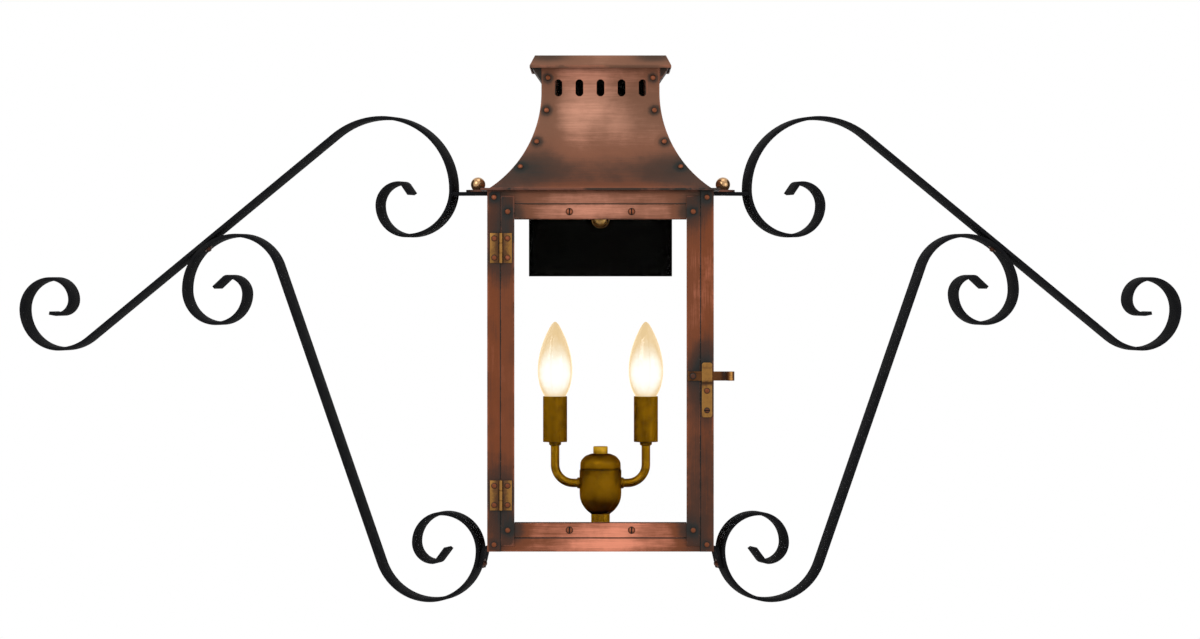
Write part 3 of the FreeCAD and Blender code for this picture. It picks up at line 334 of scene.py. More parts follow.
@cache
def brushed_grain():
    """Streaks left by a wire brush: long along one way, fine across it."""
    t, given = new_group("Brushed grain", {"Stretch": (60.0, 1500.0, 1500.0), "Blotch Scale": 38.0},
                         {"Streaks": VALUE, "Blotches": VALUE, "Height": VALUE})
    place = t.place()
    stretched = t.vector("MULTIPLY", place, given["Stretch"])
    fine = t.noise(stretched, 1.0, 4.0, 0.65)
    broad = t.noise(t.vector("SCALE", stretched, None, None, 0.16), 1.0, 2.0)
    streaks = t.math("ADD", t.math("MULTIPLY", fine, 0.6), t.math("MULTIPLY", broad, 0.4))
    blotches = t.noise(place, given["Blotch Scale"], 5.0, 0.6)
    t.finish({"Streaks": t.ramp(streaks, 0.3, 0.7), "Blotches": t.ramp(blotches, 0.3, 0.7), "Height": fine})
    return t.tree


@cache
def aged_and_shaded_metal():
    """Colour and roughness of metal that is bright where rubbed or given a painted highlight, and dark where it was
    left or given painted shade.
    """
    t, given = new_group("Aged metal", {
        "Polished Color": COLOUR, "Worn Color": COLOUR, "Dark Color": COLOUR, "Patina Color": COLOUR,
        "Pale Color": COLOUR, "Pale": 0.0, "Age": 0.5, "Edge": 0.0, "Streaks": 0.5, "Blotches": 0.5,
        "Roughness": 0.4, "Strength": 1.0}, {"Color": COLOUR, "Roughness": VALUE})
    streak = t.math("SUBTRACT", given["Streaks"], 0.5)
    streaks = t.math("MULTIPLY", streak, -0.20)
    blotches = t.math("MULTIPLY", t.math("SUBTRACT", given["Blotches"], 0.5), -0.17)
    calm = t.math("MULTIPLY_ADD", given["Pale"], -0.6, 1.0)
    marked = t.math("MULTIPLY_ADD", t.math("ADD", streaks, blotches), calm, given["Age"])
    # Age here also carries the painted shade and highlights of the marks
    age = t.math("MULTIPLY", marked, given["Strength"])
    shade = t.mix(t.ramp(age, -0.1, 0.42), given["Polished Color"], given["Worn Color"])
    shade = t.mix(t.ramp(age, 0.42, 0.85), shade, given["Dark Color"])
    shade = t.mix(t.ramp(age, 0.8, 1.25), shade, given["Patina Color"])
    # The painted sheen evens out the streaks, takes out saturation and tints the colour pale, as a painted reflection
    washed = t.add("ShaderNodeHueSaturation", {
        "Color": shade, "Saturation": t.math("MULTIPLY_ADD", given["Pale"], -0.24, 1.0)})
    shade = t.mix(given["Pale"], washed, t.vector("MULTIPLY", washed, given["Pale Color"]))
    worn_edge = t.math("MULTIPLY", t.ramp(given["Edge"], 0.55, 1.0), t.ramp(given["Blotches"], 0.35, 0.75))
    rough = t.math("MULTIPLY_ADD", age, 0.22, given["Roughness"])
    t.finish({"Color": t.mix(t.math("MULTIPLY", worn_edge, 0.14), shade, given["Polished Color"]),
              "Roughness": t.math("MULTIPLY_ADD", streak, 0.12, rough)})
    return t.tree


@cache
def painted_iron():
    """Shallow hammer marks and brush marks of painted iron."""
    t, given = new_group("Painted iron", {"Paint": COLOUR, "Rubbed": COLOUR, "Scale": 90.0},
                         {"Color": COLOUR, "Roughness": VALUE, "Height": VALUE})
    place = t.place()
    marks = t.noise(place, given["Scale"], 2.0)
    specks = t.noise(place, 2600.0, 2.0)
    rubbed = t.ramp(t.math("ADD", marks, t.math("MULTIPLY", specks, 0.35)), 0.6, 0.95)
    t.finish({"Color": t.mix(rubbed, given["Paint"], given["Rubbed"]),
              "Roughness": t.ramp(specks, 0.3, 0.7, 0.58, 0.68),
              "Height": t.math("MULTIPLY_ADD", specks, 0.12, marks)})
    return t.tree


# Materials

LONG, FINE = 45.0, 1300.0
BRUSHING = {"X": (LONG, FINE, FINE), "Y": (FINE, LONG, FINE), "Z": (FINE, FINE, LONG), "": (700.0, 700.0, 700.0)}
CAST = {"smoother": 0.06, "blotch_scale": 190.0}
# Turned brass's edge tint is set darker than brass's own: a painted shade along the sides of the turned pieces
TURNED = {"smoother": 0.04, "blotch_scale": 110.0, "bump": 0.06, "metallic": 1.0, "edge_shade_tint": (0.40, 0.32, 0.16, 1.0)}
# Each metal's colours, the way it is brushed, and how it differs from the copper sheets
METALS = {
    "Copper brushed X": ("copper", "X", {}), "Copper brushed Y": ("copper", "Y", {}),
    "Copper brushed Z": ("copper", "Z", {}), "Copper heads": ("copper", "", {}),
    "Aged brass": ("brass", "", CAST), "Browned brass": ("lever", "X", CAST),
    "Lamp brass Z": ("lamp", "Z", TURNED), "Lamp brass plain": ("lamp", "", TURNED),
    "Polished ball brass": ("ball", "", {"smoother": 0.32, "blotch_scale": 120.0, "bump": 0.02, "age": 0.35}),
}
# Name, usual and darker colour, roughness, metallic, scale of the specks and the shine of a finish without grain
SPECKLED = {
    # This black is set far darker than paint, with almost no shine: black paint plus painted shade for the back plate
    # behind the lantern
    "black_paint_and_shade": ("Matt black paint", (0.0006, 0.0006, 0.0007), (0.0012, 0.0011, 0.0011), 0.62, 0.0, 700.0, 0.02),
    "zinc": ("Zinc plate", (0.50, 0.50, 0.48), (0.36, 0.36, 0.35), 0.38, 1.0, 420.0, 0.5),
    "bulb_metal": ("Bulb base metal", (0.62, 0.48, 0.24), (0.42, 0.31, 0.14), 0.3, 1.0, 500.0, 0.5),
    "socket": ("Socket plastic", (0.03, 0.03, 0.03), (0.02, 0.02, 0.02), 0.5, 0.0, 900.0, 0.5),
}


def new_material(name):
    material = bpy.data.materials.new(name)
    material.use_nodes = True
    return material, Tree(material.node_tree, material.node_tree.nodes["Principled BSDF"])


def rgba(rgb):
    return (*rgb, 1.0)


@cache
def metal(name):
    shades, way, how = METALS[name]
    return brushed_metal(name, shades, BRUSHING[way], **how)


def brushed_metal(name, shades, stretch, smoother=0.0, blotch_scale=38.0, bump=0.12, metallic=0.88, edge_shade_tint=None,
                  age=None):
    """A metal whose age and painted shading come from the marks that its mesh carries, or are the same all over."""
    finishes = bpy.context.scene.lantern_finishes
    material, t = new_material(name)
    grain = t.node("ShaderNodeGroup", {"Stretch": stretch, "Blotch Scale": blotch_scale},
                   node_tree=brushed_grain()).outputs
    if age is None:
        marks = {"Age": t.carried("age"), "Edge": t.carried("edge"), "Pale": t.carried("pale")}
    else:
        marks = {"Age": age}
    colours = {shade.title() + " Color": rgba(getattr(finishes, shades + "_" + shade))
               for shade in ("polished", "worn", "dark")}
    aged = t.node("ShaderNodeGroup", {
        **colours, **marks, "Patina Color": rgba(finishes.patina), "Pale Color": rgba(finishes.copper_pale),
        "Streaks": grain["Streaks"], "Blotches": grain["Blotches"], "Roughness": finishes.roughness - smoother,
        "Strength": finishes.patina_and_shade_strength}, node_tree=aged_and_shaded_metal()).outputs
    t.shade({"Base Color": aged["Color"], "Roughness": aged["Roughness"], "Metallic": metallic,
             "Specular Tint": edge_shade_tint}, grain["Height"], bump, 0.0004)
    return material


@cache
def iron():
    finishes = bpy.context.scene.lantern_finishes
    material, t = new_material("Satin black iron")
    paint = t.node("ShaderNodeGroup", {"Paint": rgba(finishes.iron), "Rubbed": rgba(finishes.iron_rubbed)},
                   node_tree=painted_iron()).outputs
    t.shade({"Base Color": paint["Color"], "Roughness": paint["Roughness"], "Specular IOR Level": 0.008},
            paint["Height"], 0.05, 0.0003)
    return material


@cache
def speckled(key):
    """A plain finish with small cast specks."""
    name, usual, darker, roughness, metallic, scale, shine = SPECKLED[key]
    material, t = new_material(name)
    specks = t.noise(t.place(), scale, 3.0)
    t.shade({"Base Color": t.mix(t.ramp(specks, 0.35, 0.65), rgba(usual), rgba(darker)),
             "Roughness": t.ramp(specks, 0.3, 0.7, roughness - 0.08, roughness + 0.08),
             "Metallic": metallic, "Specular IOR Level": shine}, specks, 0.15, 0.0003)
    return material


@cache
def pane_glass():
    material, t = new_material("Clear pane")
    t.shade({"Base Color": (1.0, 1.0, 1.0, 1.0), "Roughness": 0.0, "IOR": 1.06, "Transmission Weight": 1.0},
            t.noise(t.place(), 9.0, 1.0), 0.04, 0.0005)
    return material


@cache
def bulb_glass():
    """Lit glass: white-hot around the filament, cream towards the tip and the neck."""
    scene = bpy.context.scene
    material, t = new_material("Lit bulb glass")
    shimmer = t.noise(t.place(), 240.0, 3.0)
    hot = t.math("MULTIPLY_ADD", t.math("SUBTRACT", shimmer, 0.5), 0.22, t.carried("glow"))
    rim = t.node("ShaderNodeLayerWeight", {"Blend": 0.5}).outputs["Facing"]
    hot = t.math("MULTIPLY_ADD", t.math("POWER", rim, 2.0), -1.8, hot)
    light = t.mix(t.ramp(hot, 0.1, 0.8), rgba(scene.lantern_finishes.glow), (1.0, 0.93, 0.76, 1.0))
    t.finish({"Emission Color": t.mix(t.ramp(hot, 0.55, 1.0), light, (1.0, 1.0, 0.97, 1.0)),
              "Emission Strength": scene.lantern_lamp.glow_strength, "Base Color": (0.02, 0.017, 0.01, 1.0),
              "Roughness": 0.04, "Alpha": t.ramp(hot, 0.0, 0.6, 0.90, 0.99)})
    return material


# Marks of age and of painted light and shade on the sheets, in mm: place, reach and strength. Above 0 the metal is
# darker, below 0 it is brighter; each table says which of its marks are painted shade or highlights

# x and z on the front face, then the reach along x, y and z, and the strength: painted highlights across the middle of
# the rails, darker patches around the hinges and the latch, and lighter and darker stretches along the posts
FACE_SHADING_AND_AGE = (
    (-89.6, -28.2, 15, 9, 25, 0.62), (-89.6, -250.9, 15, 9, 25, 0.62), (95.0, -132.0, 13, 9, 20, 0.66),
    (94.0, -165.0, 13, 9, 26, 0.42), (82.0, -143.4, 10, 9, 12, 0.45), (8.0, -296.0, 48, 12, 9, -0.42),
    (0.0, -282.0, 52, 12, 7, -0.19), (-4.0, 20.0, 66, 12, 8, -0.19), (-6.0, 6.0, 52, 12, 7, -0.17),
    (96.0, -245.0, 26, 12, 50, 0.26), (-92.0, -120.0, 16, 12, 60, -0.03), (92.0, -65.0, 16, 12, 44, -0.15))
# Painted shade where the stiles stand in front of the rails, at the posts' ends by the rails and under the brim, the
# same on both sides
CORNER_SHADE = ((76.0, 4.0, 9, 9, 12, 0.5), (76.0, -281.0, 9, 9, 12, 0.5), (89.6, 8.0, 12, 9, 26, 0.34),
                (89.6, -290.0, 12, 9, 30, 0.30), (96.0, 17.0, 10, 9, 8, 0.35))
# x, y and z on the front roof panel and the cap, reaches and strength: painted shade on the hips, along the flare's
# foot, under the cap's lip and on the cap's corners, and painted highlights up the middle
ROOF_SHADING = (
    (4.0, -170.0, 104.0, 40, 45, 18, -0.09), (10.0, -175.0, 86.0, 45, 50, 16, -0.06),
    (-50.0, -172.0, 97.0, 13, 45, 34, 0.26), (-68.0, -195.0, 48.0, 26, 50, 20, 0.22),
    (50.0, -172.0, 95.0, 10, 45, 32, -0.04), (76.0, -195.0, 48.0, 16, 45, 18, 0.09),
    (0.0, -200.0, 40.0, 200, 60, 18, 0.30), (0.0, -170.0, 133.0, 46, 12, 7, -0.09),
    (0.0, -180.4, 136.9, 80, 3, 1.4, 0.36), (-44.0, -172.0, 146.5, 24, 24, 6, 0.36),
    (46.0, -172.0, 146.5, 18, 24, 6, 0.32))
QUARTERS = ((1, 0), (0, 1), (-1, 0), (0, -1))
# Height over the floor, reach around the axis and along it, and strength, for the cluster's joints and the sleeves
LAMP_MARKS = ((69.7, 60, 1.2, 0.38), (84.0, 60, 1.5, 0.4), (30.0, 60, 1.6, 0.3), (95.0, 80, 1.6, 0.4),
              (137.0, 80, 1.2, 0.35))
# Reach and strength of the dark ring around each rivet
RIVET_MARKS = {"frame_rivets": (4.0, 0.60), "roof_rivets": (4.4, 1.0), "door_rivets": (4.0, 0.60)}


@cache
def marks():
    """Centres, reaches and strengths of all the marks of age and painted light and shade. The front's are also on the
    rear, the roof's on four sides.
    """
    rows = [(x, FRONT, z, *rest) for x, z, *rest in FACE_SHADING_AND_AGE]
    rows += [(side * x, FRONT, z, *rest) for side in SIDES for x, z, *rest in CORNER_SHADE]
    # The front's painted highlights and shade are copied onto the rear face as they are
    rows += [(x, 2 * AXIS_Y - y, z, *rest) for x, y, z, *rest in rows]
    # The roof's painted shade and highlights are turned onto all four sides
    for c, s in QUARTERS:
        for x, y, z, reach_x, reach_y, reach_z, strength in ROOF_SHADING:
            out = y - AXIS_Y
            across = (reach_x, reach_y) if c else (reach_y, reach_x)
            rows.append((c * x - s * out, AXIS_Y + s * x + c * out, z, *across, reach_z, strength))
    rows += [(0.0, AXIS_Y, height + ROW, around, around, along, strength)
             for height, around, along, strength in LAMP_MARKS]
    for node, (reach, strength) in RIVET_MARKS.items():
        rows += [(*(seat / MM), reach, reach, reach, strength) for seat, _ in head_seats(node)]
    table = np.array(rows, dtype=float)
    return table[:, :3], table[:, 3:6], table[:, 6]


def age_at(corners, base):
    """The age and painted shading of a sheet's corners: its own age, and what every mark and rivet near it adds."""
    place = corners / MM
    age = np.full(len(corners), base)
    for centre, reach, strength in zip(*marks()):
        age += strength * np.exp(-(((place - centre) / reach) ** 2).sum(axis=1))
    return age


def store(mesh, name, values):
    if name in mesh.attributes:
        mesh.attributes.remove(mesh.attributes[name])
    mesh.attributes.new(name, "FLOAT", "POINT").data.foreach_set("value", np.asarray(values, dtype=np.float32))


def corners_of(mesh):
    corners = np.empty(len(mesh.vertices) * 3, dtype=np.float32)
    mesh.vertices.foreach_get("co", corners)
    return corners.reshape(-1, 3).astype(float)


# Finished pieces

def piece(name, mesh, material, slot, *nodes):
    """Places a finished mesh in the scene, where it rides and stands for its nodes."""
    if not mesh.polygons:
        raise RuntimeError("nothing was made for " + name)
    mesh.name = name
    mesh.materials.clear()
    mesh.materials.append(material)
    made = bpy.data.objects.new(name, mesh)
    bpy.context.scene.collection.objects.link(made)
    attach(made, NODES[nodes[0]]["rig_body"] if nodes else "lantern")
    if nodes:
        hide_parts(*nodes)


def smoothed(mesh, degrees):
    """Shades a mesh smooth, but for the edges sharper than an angle."""
    mesh.polygons.foreach_set("use_smooth", np.ones(len(mesh.polygons), dtype=bool))
    mesh.set_sharp_from_angle(angle=math.radians(degrees))
    return mesh


def to_mesh(build, name, degrees=24.0):
    mesh = bpy.data.meshes.new(name)
    build.to_mesh(mesh)
    build.free()
    if "custom_normal" in mesh.attributes:
        mesh.attributes.remove(mesh.attributes["custom_normal"])
    while mesh.uv_layers:
        mesh.uv_layers.remove(mesh.uv_layers[0])
    return smoothed(mesh, degrees)


def drop_small(build, least_size):
    """Takes away the shells that are smaller than a size."""
    left = set(build.verts)
    while left:
        shell, waiting = set(), [left.pop()]
        while waiting:
            vert = waiting.pop()
            shell.add(vert)
            for edge in vert.link_edges:
                other = edge.other_vert(vert)
                if other in left:
                    left.discard(other)
                    waiting.append(other)
        places = np.array([vert.co for vert in shell])
        if (places.max(axis=0) - places.min(axis=0)).max() < least_size:
            bmesh.ops.delete(build, geom=list(shell), context="VERTS")


# Seams of the door and its frame, in mm: axis, place of the edge, how far it is drawn into the seam, and the painted
# shade that darkens a band along the gap
SEAM_BAND, SEAM_EDGE = 0.9, 0.4
SEAMS = {"front_post_left": (0, -89.8, 0.08, 1.3), "front_post_right": (0, 89.8, -0.08, 1.3),
         "door_stile_left": (0, -89.5, -0.08, 0.0), "door_stile_right": (0, 89.5, 0.08, 0.0),
         "front_rail_top": (2, 11.3, -0.13, 1.3), "front_rail_bottom": (2, -289.0, 0.13, 1.3),
         "door_rail_top": (2, 10.9, 0.13, 0.0), "door_rail_bottom": (2, -288.6, -0.13, 0.0)}
# The part of a roof panel that holds the vent slots, in mm
VENTS_FOOT, VENTS_HEAD, VENTS_REACH = 108.0, 134.0, 45.0
# Corners closer than this are one; flatter joints than FLAT are none, sharper ones than SHARP are rounded, and those
# above WORN count as edges
MERGE = 0.002 * MM
FLAT, WORN, SHARP = math.radians(1.0), math.radians(20), math.radians(32)
SLOT_CORNER, SLOT_TURNS = 1.6 * MM, (math.radians(30), math.radians(60))


def on_vents(edge):
    """Whether an edge of a roof panel belongs to the vent slots."""
    return all(VENTS_FOOT < vert.co.z / MM < VENTS_HEAD and abs(vert.co.x) / MM < VENTS_REACH
               for vert in edge.verts)


def bevel(build, edges, offset, segments, clamp=True):
    bmesh.ops.bevel(build, geom=edges, offset=offset, segments=segments, profile=0.5, affect="EDGES",
                    clamp_overlap=clamp)


def split(build, axis, place):
    """Divides the faces at a place along an axis."""
    normal = Vector([float(axis == i) for i in range(3)])
    bmesh.ops.bisect_plane(build, geom=build.verts[:] + build.edges[:] + build.faces[:], dist=MERGE,
                           plane_co=normal * place, plane_no=normal)


def sheet_mesh(node, cell, edge_round, base_age, pale=0.0, slot_round=0.0, least_size=0.0):
    """The node's own shape with merged corners, rounded edges and points close enough to carry its age and painted
    shading.
    """
    build = bmesh.new()
    build.from_mesh(NODES[node].data)
    bmesh.ops.remove_doubles(build, verts=build.verts, dist=MERGE)
    bmesh.ops.dissolve_limit(build, angle_limit=FLAT, verts=build.verts, edges=build.edges)
    if least_size:
        drop_small(build, least_size)
    if slot_round:
        bevel(build, [edge for edge in build.edges if edge.calc_length() < SLOT_CORNER
                      and SLOT_TURNS[0] < edge.calc_face_angle(0.0) < SLOT_TURNS[1]
                      and abs((edge.verts[0].co - edge.verts[1].co).normalized().z) < 0.2], slot_round, 3)
    sharp = [edge for edge in build.edges if edge.calc_face_angle(0.0) > SHARP
             and not (slot_round and on_vents(edge))]
    bevel(build, sharp, edge_round, bpy.context.scene.lantern_sheets.edge_steps)
    corners = np.array([v.co for v in build.verts])
    for axis, (low, high) in enumerate(zip(corners.min(axis=0), corners.max(axis=0))):
        cells = int((high - low) / cell)
        for index in range(1, cells):
            split(build, axis, float(low + (high - low) * index / cells))
    seam = SEAMS.get(node)
    if seam:
        axis, place, shift, shade = seam
        for band in (SEAM_BAND, SEAM_BAND / 2):
            split(build, axis, (place - math.copysign(band, shift)) * MM)
    edge_share = np.zeros(len(build.verts))
    build.verts.index_update()
    for edge in build.edges:
        if edge.calc_face_angle(0.0) > WORN:
            for vert in edge.verts:
                edge_share[vert.index] = 1.0
    mesh = to_mesh(build, node)
    corners = corners_of(mesh)
    age = age_at(corners, base_age)
    if seam:
        away = np.abs(corners[:, axis] / MM - place)
        # Painted shade: a dark band on the frame's side of each gap
        age[away < SEAM_BAND - 0.05] += shade
        corners[away < SEAM_EDGE, axis] += shift * MM
        mesh.vertices.foreach_set("co", corners.ravel())
        mesh.update()
    store(mesh, "age", age)
    store(mesh, "edge", edge_share)
    store(mesh, "pale", np.full(len(edge_share), pale))
    return mesh


def lathe(profile, steps, place, out=(0.0, 0.0, 1.0), hollow=False):
    """Turns a profile of (radius, height) in mm about an axis. One that ends on the axis closes there."""
    build = bmesh.new()
    turns = [2 * math.pi * i / steps for i in range(steps)]
    rings = [[build.verts.new((radius * MM * math.cos(t), radius * MM * math.sin(t), height * MM))
              for t in (turns if radius >= 1e-6 else turns[:1])] for radius, height in profile]
    for lower, upper in list(zip(rings, rings[1:])) + ([(rings[-1], rings[0])] if hollow else []):
        for i in range(steps):
            j = (i + 1) % steps
            loop = [lower[i % len(lower)], lower[j % len(lower)], upper[j % len(upper)], upper[i % len(upper)]]
            build.faces.new(list(dict.fromkeys(loop)))
    bmesh.ops.recalc_face_normals(build, faces=build.faces)
    turn = Vector((0, 0, 1)).rotation_difference(Vector(out)).to_matrix().to_4x4()
    build.transform(Matrix.Translation(Vector(place)) @ turn)
    return build


def joined(builds):
    """One mesh of several shells."""
    whole = bmesh.new()
    for build in builds:
        part = bpy.data.meshes.new("part")
        build.to_mesh(part)
        build.free()
        whole.from_mesh(part)
        bpy.data.meshes.remove(part)
    return whole


def smooth_line(points, steps):
    """A smooth line through points, with some steps between each two."""
    points = [np.array(p, dtype=float) for p in points]
    points = [2 * points[0] - points[1], *points, 2 * points[-1] - points[-2]]
    line = []
    for a, b, c, d in zip(points, points[1:], points[2:], points[3:]):
        for t in (i / steps for i in range(steps)):
            line.append(0.5 * (2 * b + (c - a) * t + (2 * a - 5 * b + 4 * c - d) * t ** 2
                               + (3 * b - a - 3 * c + d) * t ** 3))
    return [tuple(p) for p in (*line, points[-2])]


def turned_piece(name, builds, material, slot, age, *nodes, marked=True):
    """A piece of turned shells, of one age or with the marks of age and painted shade of its place."""
    mesh = to_mesh(joined(builds), name, 30.0)
    corners = corners_of(mesh)
    store(mesh, "age", age_at(corners, age) if marked else np.full(len(corners), age))
    piece(name, mesh, material, slot, *nodes)


# Pieces made by geometry nodes

def made_by(tree, points, edges, inputs, ways=()):
    """Runs a geometry tree on points and edges, where the points may face ways, and gives back its plain mesh."""
    places = bpy.data.meshes.new("places")
    places.from_pydata(points, edges, [])
    if ways:
        out = places.attributes.new("out", "FLOAT_VECTOR", "POINT")
        out.data.foreach_set("vector", np.array(ways, dtype=float).ravel())
    holder = bpy.data.objects.new("places", places)
    bpy.context.scene.collection.objects.link(holder)
    modifier = holder.modifiers.new(tree.name, "NODES")
    modifier.node_group = tree
    for item in tree.interface.items_tree:
        if item.item_type == "SOCKET" and item.in_out == "INPUT" and item.name in inputs:
            modifier[item.identifier] = inputs[item.name]
    holder.update_tag()
    bpy.context.view_layer.update()
    graph = bpy.context.evaluated_depsgraph_get()
    mesh = bpy.data.meshes.new_from_object(holder.evaluated_get(graph))
    holder.modifiers.remove(modifier)
    bpy.data.objects.remove(holder)
    bpy.data.meshes.remove(places)
    return mesh


@cache
def heads_tree():
    """Domed heads on points, each facing along its own way, with a slot where one is cut."""
    t, given = new_group("Fixing heads", {
        "Places": GEOMETRY, "Head Radius": 0.0025, "Head Height": 0.0013, "Slot Width": 0.0, "Slot Depth": 0.0007,
        "Slot Turn": 0.0, "Age Shift": 0.0, "Tilt": 0.04, "Seed": 1, "Material": MATERIAL}, {"Heads": GEOMETRY},
        "GeometryNodeTree")
    radius, height, width = given["Head Radius"], given["Head Height"], given["Slot Width"]
    x, y, z = t.node("ShaderNodeSeparateXYZ", [t.add("GeometryNodeInputPosition")]).outputs
    ball = t.add("GeometryNodeMeshUVSphere", {"Segments": 28, "Rings": 18, "Radius": 1.0})
    lift = t.math("POWER", t.math("MAXIMUM", z, 0.0), 0.82)
    dome = t.add("GeometryNodeSetPosition", {"Geometry": ball, "Position": t.xyz(x, y, lift)})
    dome = t.add("GeometryNodeTransform", {"Geometry": dome, "Scale": t.xyz(radius, radius, height)})
    depth = t.math("MULTIPLY", given["Slot Depth"], 2.0)
    cutter = t.add("GeometryNodeMeshCube", {"Size": t.xyz(width, t.math("MULTIPLY", radius, 3.0), depth)})
    cutter = t.add("GeometryNodeTransform", {"Geometry": cutter, "Translation": t.xyz(0.0, 0.0, height)})
    cut = t.add("GeometryNodeMeshBoolean", {"Mesh 1": dome, "Mesh 2": cutter}, operation="DIFFERENCE",
                solver="EXACT")
    slotted = t.add("FunctionNodeCompare", {"A": width, "B": 0.0}, operation="GREATER_THAN", data_type="FLOAT")
    head = t.add("GeometryNodeSwitch", {"Switch": slotted, "False": dome, "True": cut}, input_type="GEOMETRY")
    # Painted highlight on each head's crown and painted shade towards its rim, by height
    domed = t.ramp(t.math("DIVIDE", z, height), 0.30, 0.98, 1.12, 0.38)
    # Painted shade in a screw's slot
    shaded_slot = t.math("LESS_THAN", t.math("ABSOLUTE", x), t.math("MULTIPLY", width, 0.502))
    age = t.math("ADD", t.math("MULTIPLY_ADD", shaded_slot, 1.2, domed), given["Age Shift"])
    head = t.add("GeometryNodeStoreNamedAttribute", {"Geometry": head, "Name": "age", "Value": age},
                 data_type="FLOAT", domain="POINT")
    head = t.add("GeometryNodeTransform", {"Geometry": head, "Rotation": t.xyz(0.0, 0.0, given["Slot Turn"])})
    out = t.add("GeometryNodeInputNamedAttribute", {"Name": "out"}, data_type="FLOAT_VECTOR")
    faced = t.add("FunctionNodeAlignRotationToVector", {"Vector": out}, axis="Z")
    lean = t.add("FunctionNodeRandomValue", {"Min": (-1.0, -1.0, -1.0), "Max": (1.0, 1.0, 1.0),
                                             "Seed": given["Seed"]}, data_type="FLOAT_VECTOR")
    lean = t.add("FunctionNodeEulerToRotation", [t.vector("SCALE", lean, None, None, given["Tilt"])])
    turned = t.add("FunctionNodeRotateRotation", [faced, lean], rotation_space="LOCAL")
    t.deliver(t.add("GeometryNodeInstanceOnPoints", {"Points": given["Places"], "Instance": head,
                                                     "Rotation": turned}), given["Material"])
    return t.tree


@cache
def bar_tree():
    """A rounded flat bar along a path, its width lying across the path's plane."""
    t, given = new_group("Flat bar on a path", {
        "Path": GEOMETRY, "Across": (0.0, 1.0, 0.0), "Width": 0.0254, "Thickness": 0.0032, "Edge Round": 0.0006,
        "Material": MATERIAL}, {"Bar": GEOMETRY}, "GeometryNodeTree")
    curve = t.add("GeometryNodeMeshToCurve", {"Mesh": given["Path"]})
    curve = t.add("GeometryNodeSetCurveNormal", {"Curve": curve, "Normal": given["Across"]}, mode="FREE")
    outline = t.add("GeometryNodeCurvePrimitiveQuadrilateral", {
        "Width": given["Width"], "Height": given["Thickness"]})
    outline = t.add("GeometryNodeFilletCurve", {"Curve": outline, "Count": 3, "Radius": given["Edge Round"]},
                    mode="POLY")
    t.deliver(t.add("GeometryNodeCurveToMesh", {"Curve": curve, "Profile Curve": outline, "Fill Caps": True}),
              given["Material"])
    return t.tree


@cache
def tube_tree():
    """A round tube along a path whose corners are bent to a radius."""
    t, given = new_group("Bent tube", {
        "Path": GEOMETRY, "Bend Radius": 0.017, "Tube Radius": 0.004, "Steps": 20, "Material": MATERIAL},
        {"Tube": GEOMETRY}, "GeometryNodeTree")
    curve = t.add("GeometryNodeMeshToCurve", {"Mesh": given["Path"]})
    curve = t.add("GeometryNodeFilletCurve", {
        "Curve": curve, "Count": given["Steps"], "Radius": given["Bend Radius"]}, mode="POLY")
    outline = t.add("GeometryNodeCurvePrimitiveCircle", {"Resolution": 32, "Radius": given["Tube Radius"]})
    t.deliver(t.add("GeometryNodeCurveToMesh", {"Curve": curve, "Profile Curve": outline, "Fill Caps": True}),
              given["Material"])
    return t.tree


def heads(name, node, seats, radius, height, slot_width=0.0, slot_turn=0.0, age_shift=0.0, seed_shift=0):
    """Copper heads on their seats, in place of a node's plain ones."""
    sizes, material = bpy.context.scene.lantern_fixings, metal("Copper heads")
    mesh = made_by(heads_tree(), [tuple(seat) for seat, _ in seats], [], {
        "Head Radius": radius, "Head Height": height, "Slot Width": slot_width, "Slot Depth": sizes.slot_depth,
        "Slot Turn": slot_turn, "Age Shift": age_shift, "Tilt": sizes.tilt, "Seed": sizes.seed + seed_shift,
        "Material": material}, [tuple(out) for _, out in seats])
    piece(name, smoothed(mesh, 40.0), material, "copper_rivets", node)


# Operators, one for each group of pieces

# Way of the brushing, age, and strength of the painted sheen, a painted reflection that washes the colour paler
COPPER_SHEETS = {
    "front_post_left": ("Z", 0.50, 0.0), "front_post_right": ("Z", 0.47, 0.0), "rear_posts": ("Z", 0.50, 0.0),
    "front_rail_top": ("X", 0.34, 0.6), "front_rail_bottom": ("X", 0.36, 0.15), "rear_rails": ("X", 0.38, 0.3),
    "side_rails_top": ("Y", 0.34, 0.6), "side_rails_bottom": ("Y", 0.34, 0.15), "floor_pan": ("X", 0.55, 0.2),
    "brim_plate": ("X", 0.88, 0.3), "door_stile_left": ("Z", 0.50, 0.1), "door_stile_right": ("Z", 0.50, 0.1),
    "door_rail_top": ("X", 0.33, 0.6), "door_rail_bottom": ("X", 0.32, 0.15),
    # The cap's skirts are set dark as painted shade: their undersides hang in the cap's shadow
    "door_glass_holders": ("X", 0.6, 0.3), "glass_clips": ("Z", 0.6, 0.3), "cap_skirts": ("Y", 1.0, 0.5),
    "chimney_cap": ("X", 0.37, 1.0),
}
ROOF_PANELS = {"roof_panel_front": "X", "roof_panel_rear": "X", "roof_panel_left": "Y", "roof_panel_right": "Y"}
# Age of the roof outside, painted shade of its inside, and its painted sheen, a painted reflection, by height in mm
ROOF_AGE, INSIDE_SHADE = 0.30, 1.25
ROOF_SHEEN = (30.0, 85.0, 112.0, 130.0), (0.35, 1.0, 0.95, 0.62)


class Undoable:
    bl_options = {"REGISTER", "UNDO"}


class LANTERN_OT_sheets(Undoable, bpy.types.Operator):
    """Folded copper sheets of the frame, floor, door, brim and cap"""
    bl_idname = "lantern.sheets"
    bl_label = "Copper sheets"

    def execute(self, context):
        sizes = context.scene.lantern_sheets
        for node, (way, age, pale) in COPPER_SHEETS.items():
            mesh = sheet_mesh(node, sizes.cell, sizes.edge_round, age, pale)
            piece(node + "_sheet", mesh, metal("Copper brushed " + way), "copper", node)
        return {"FINISHED"}


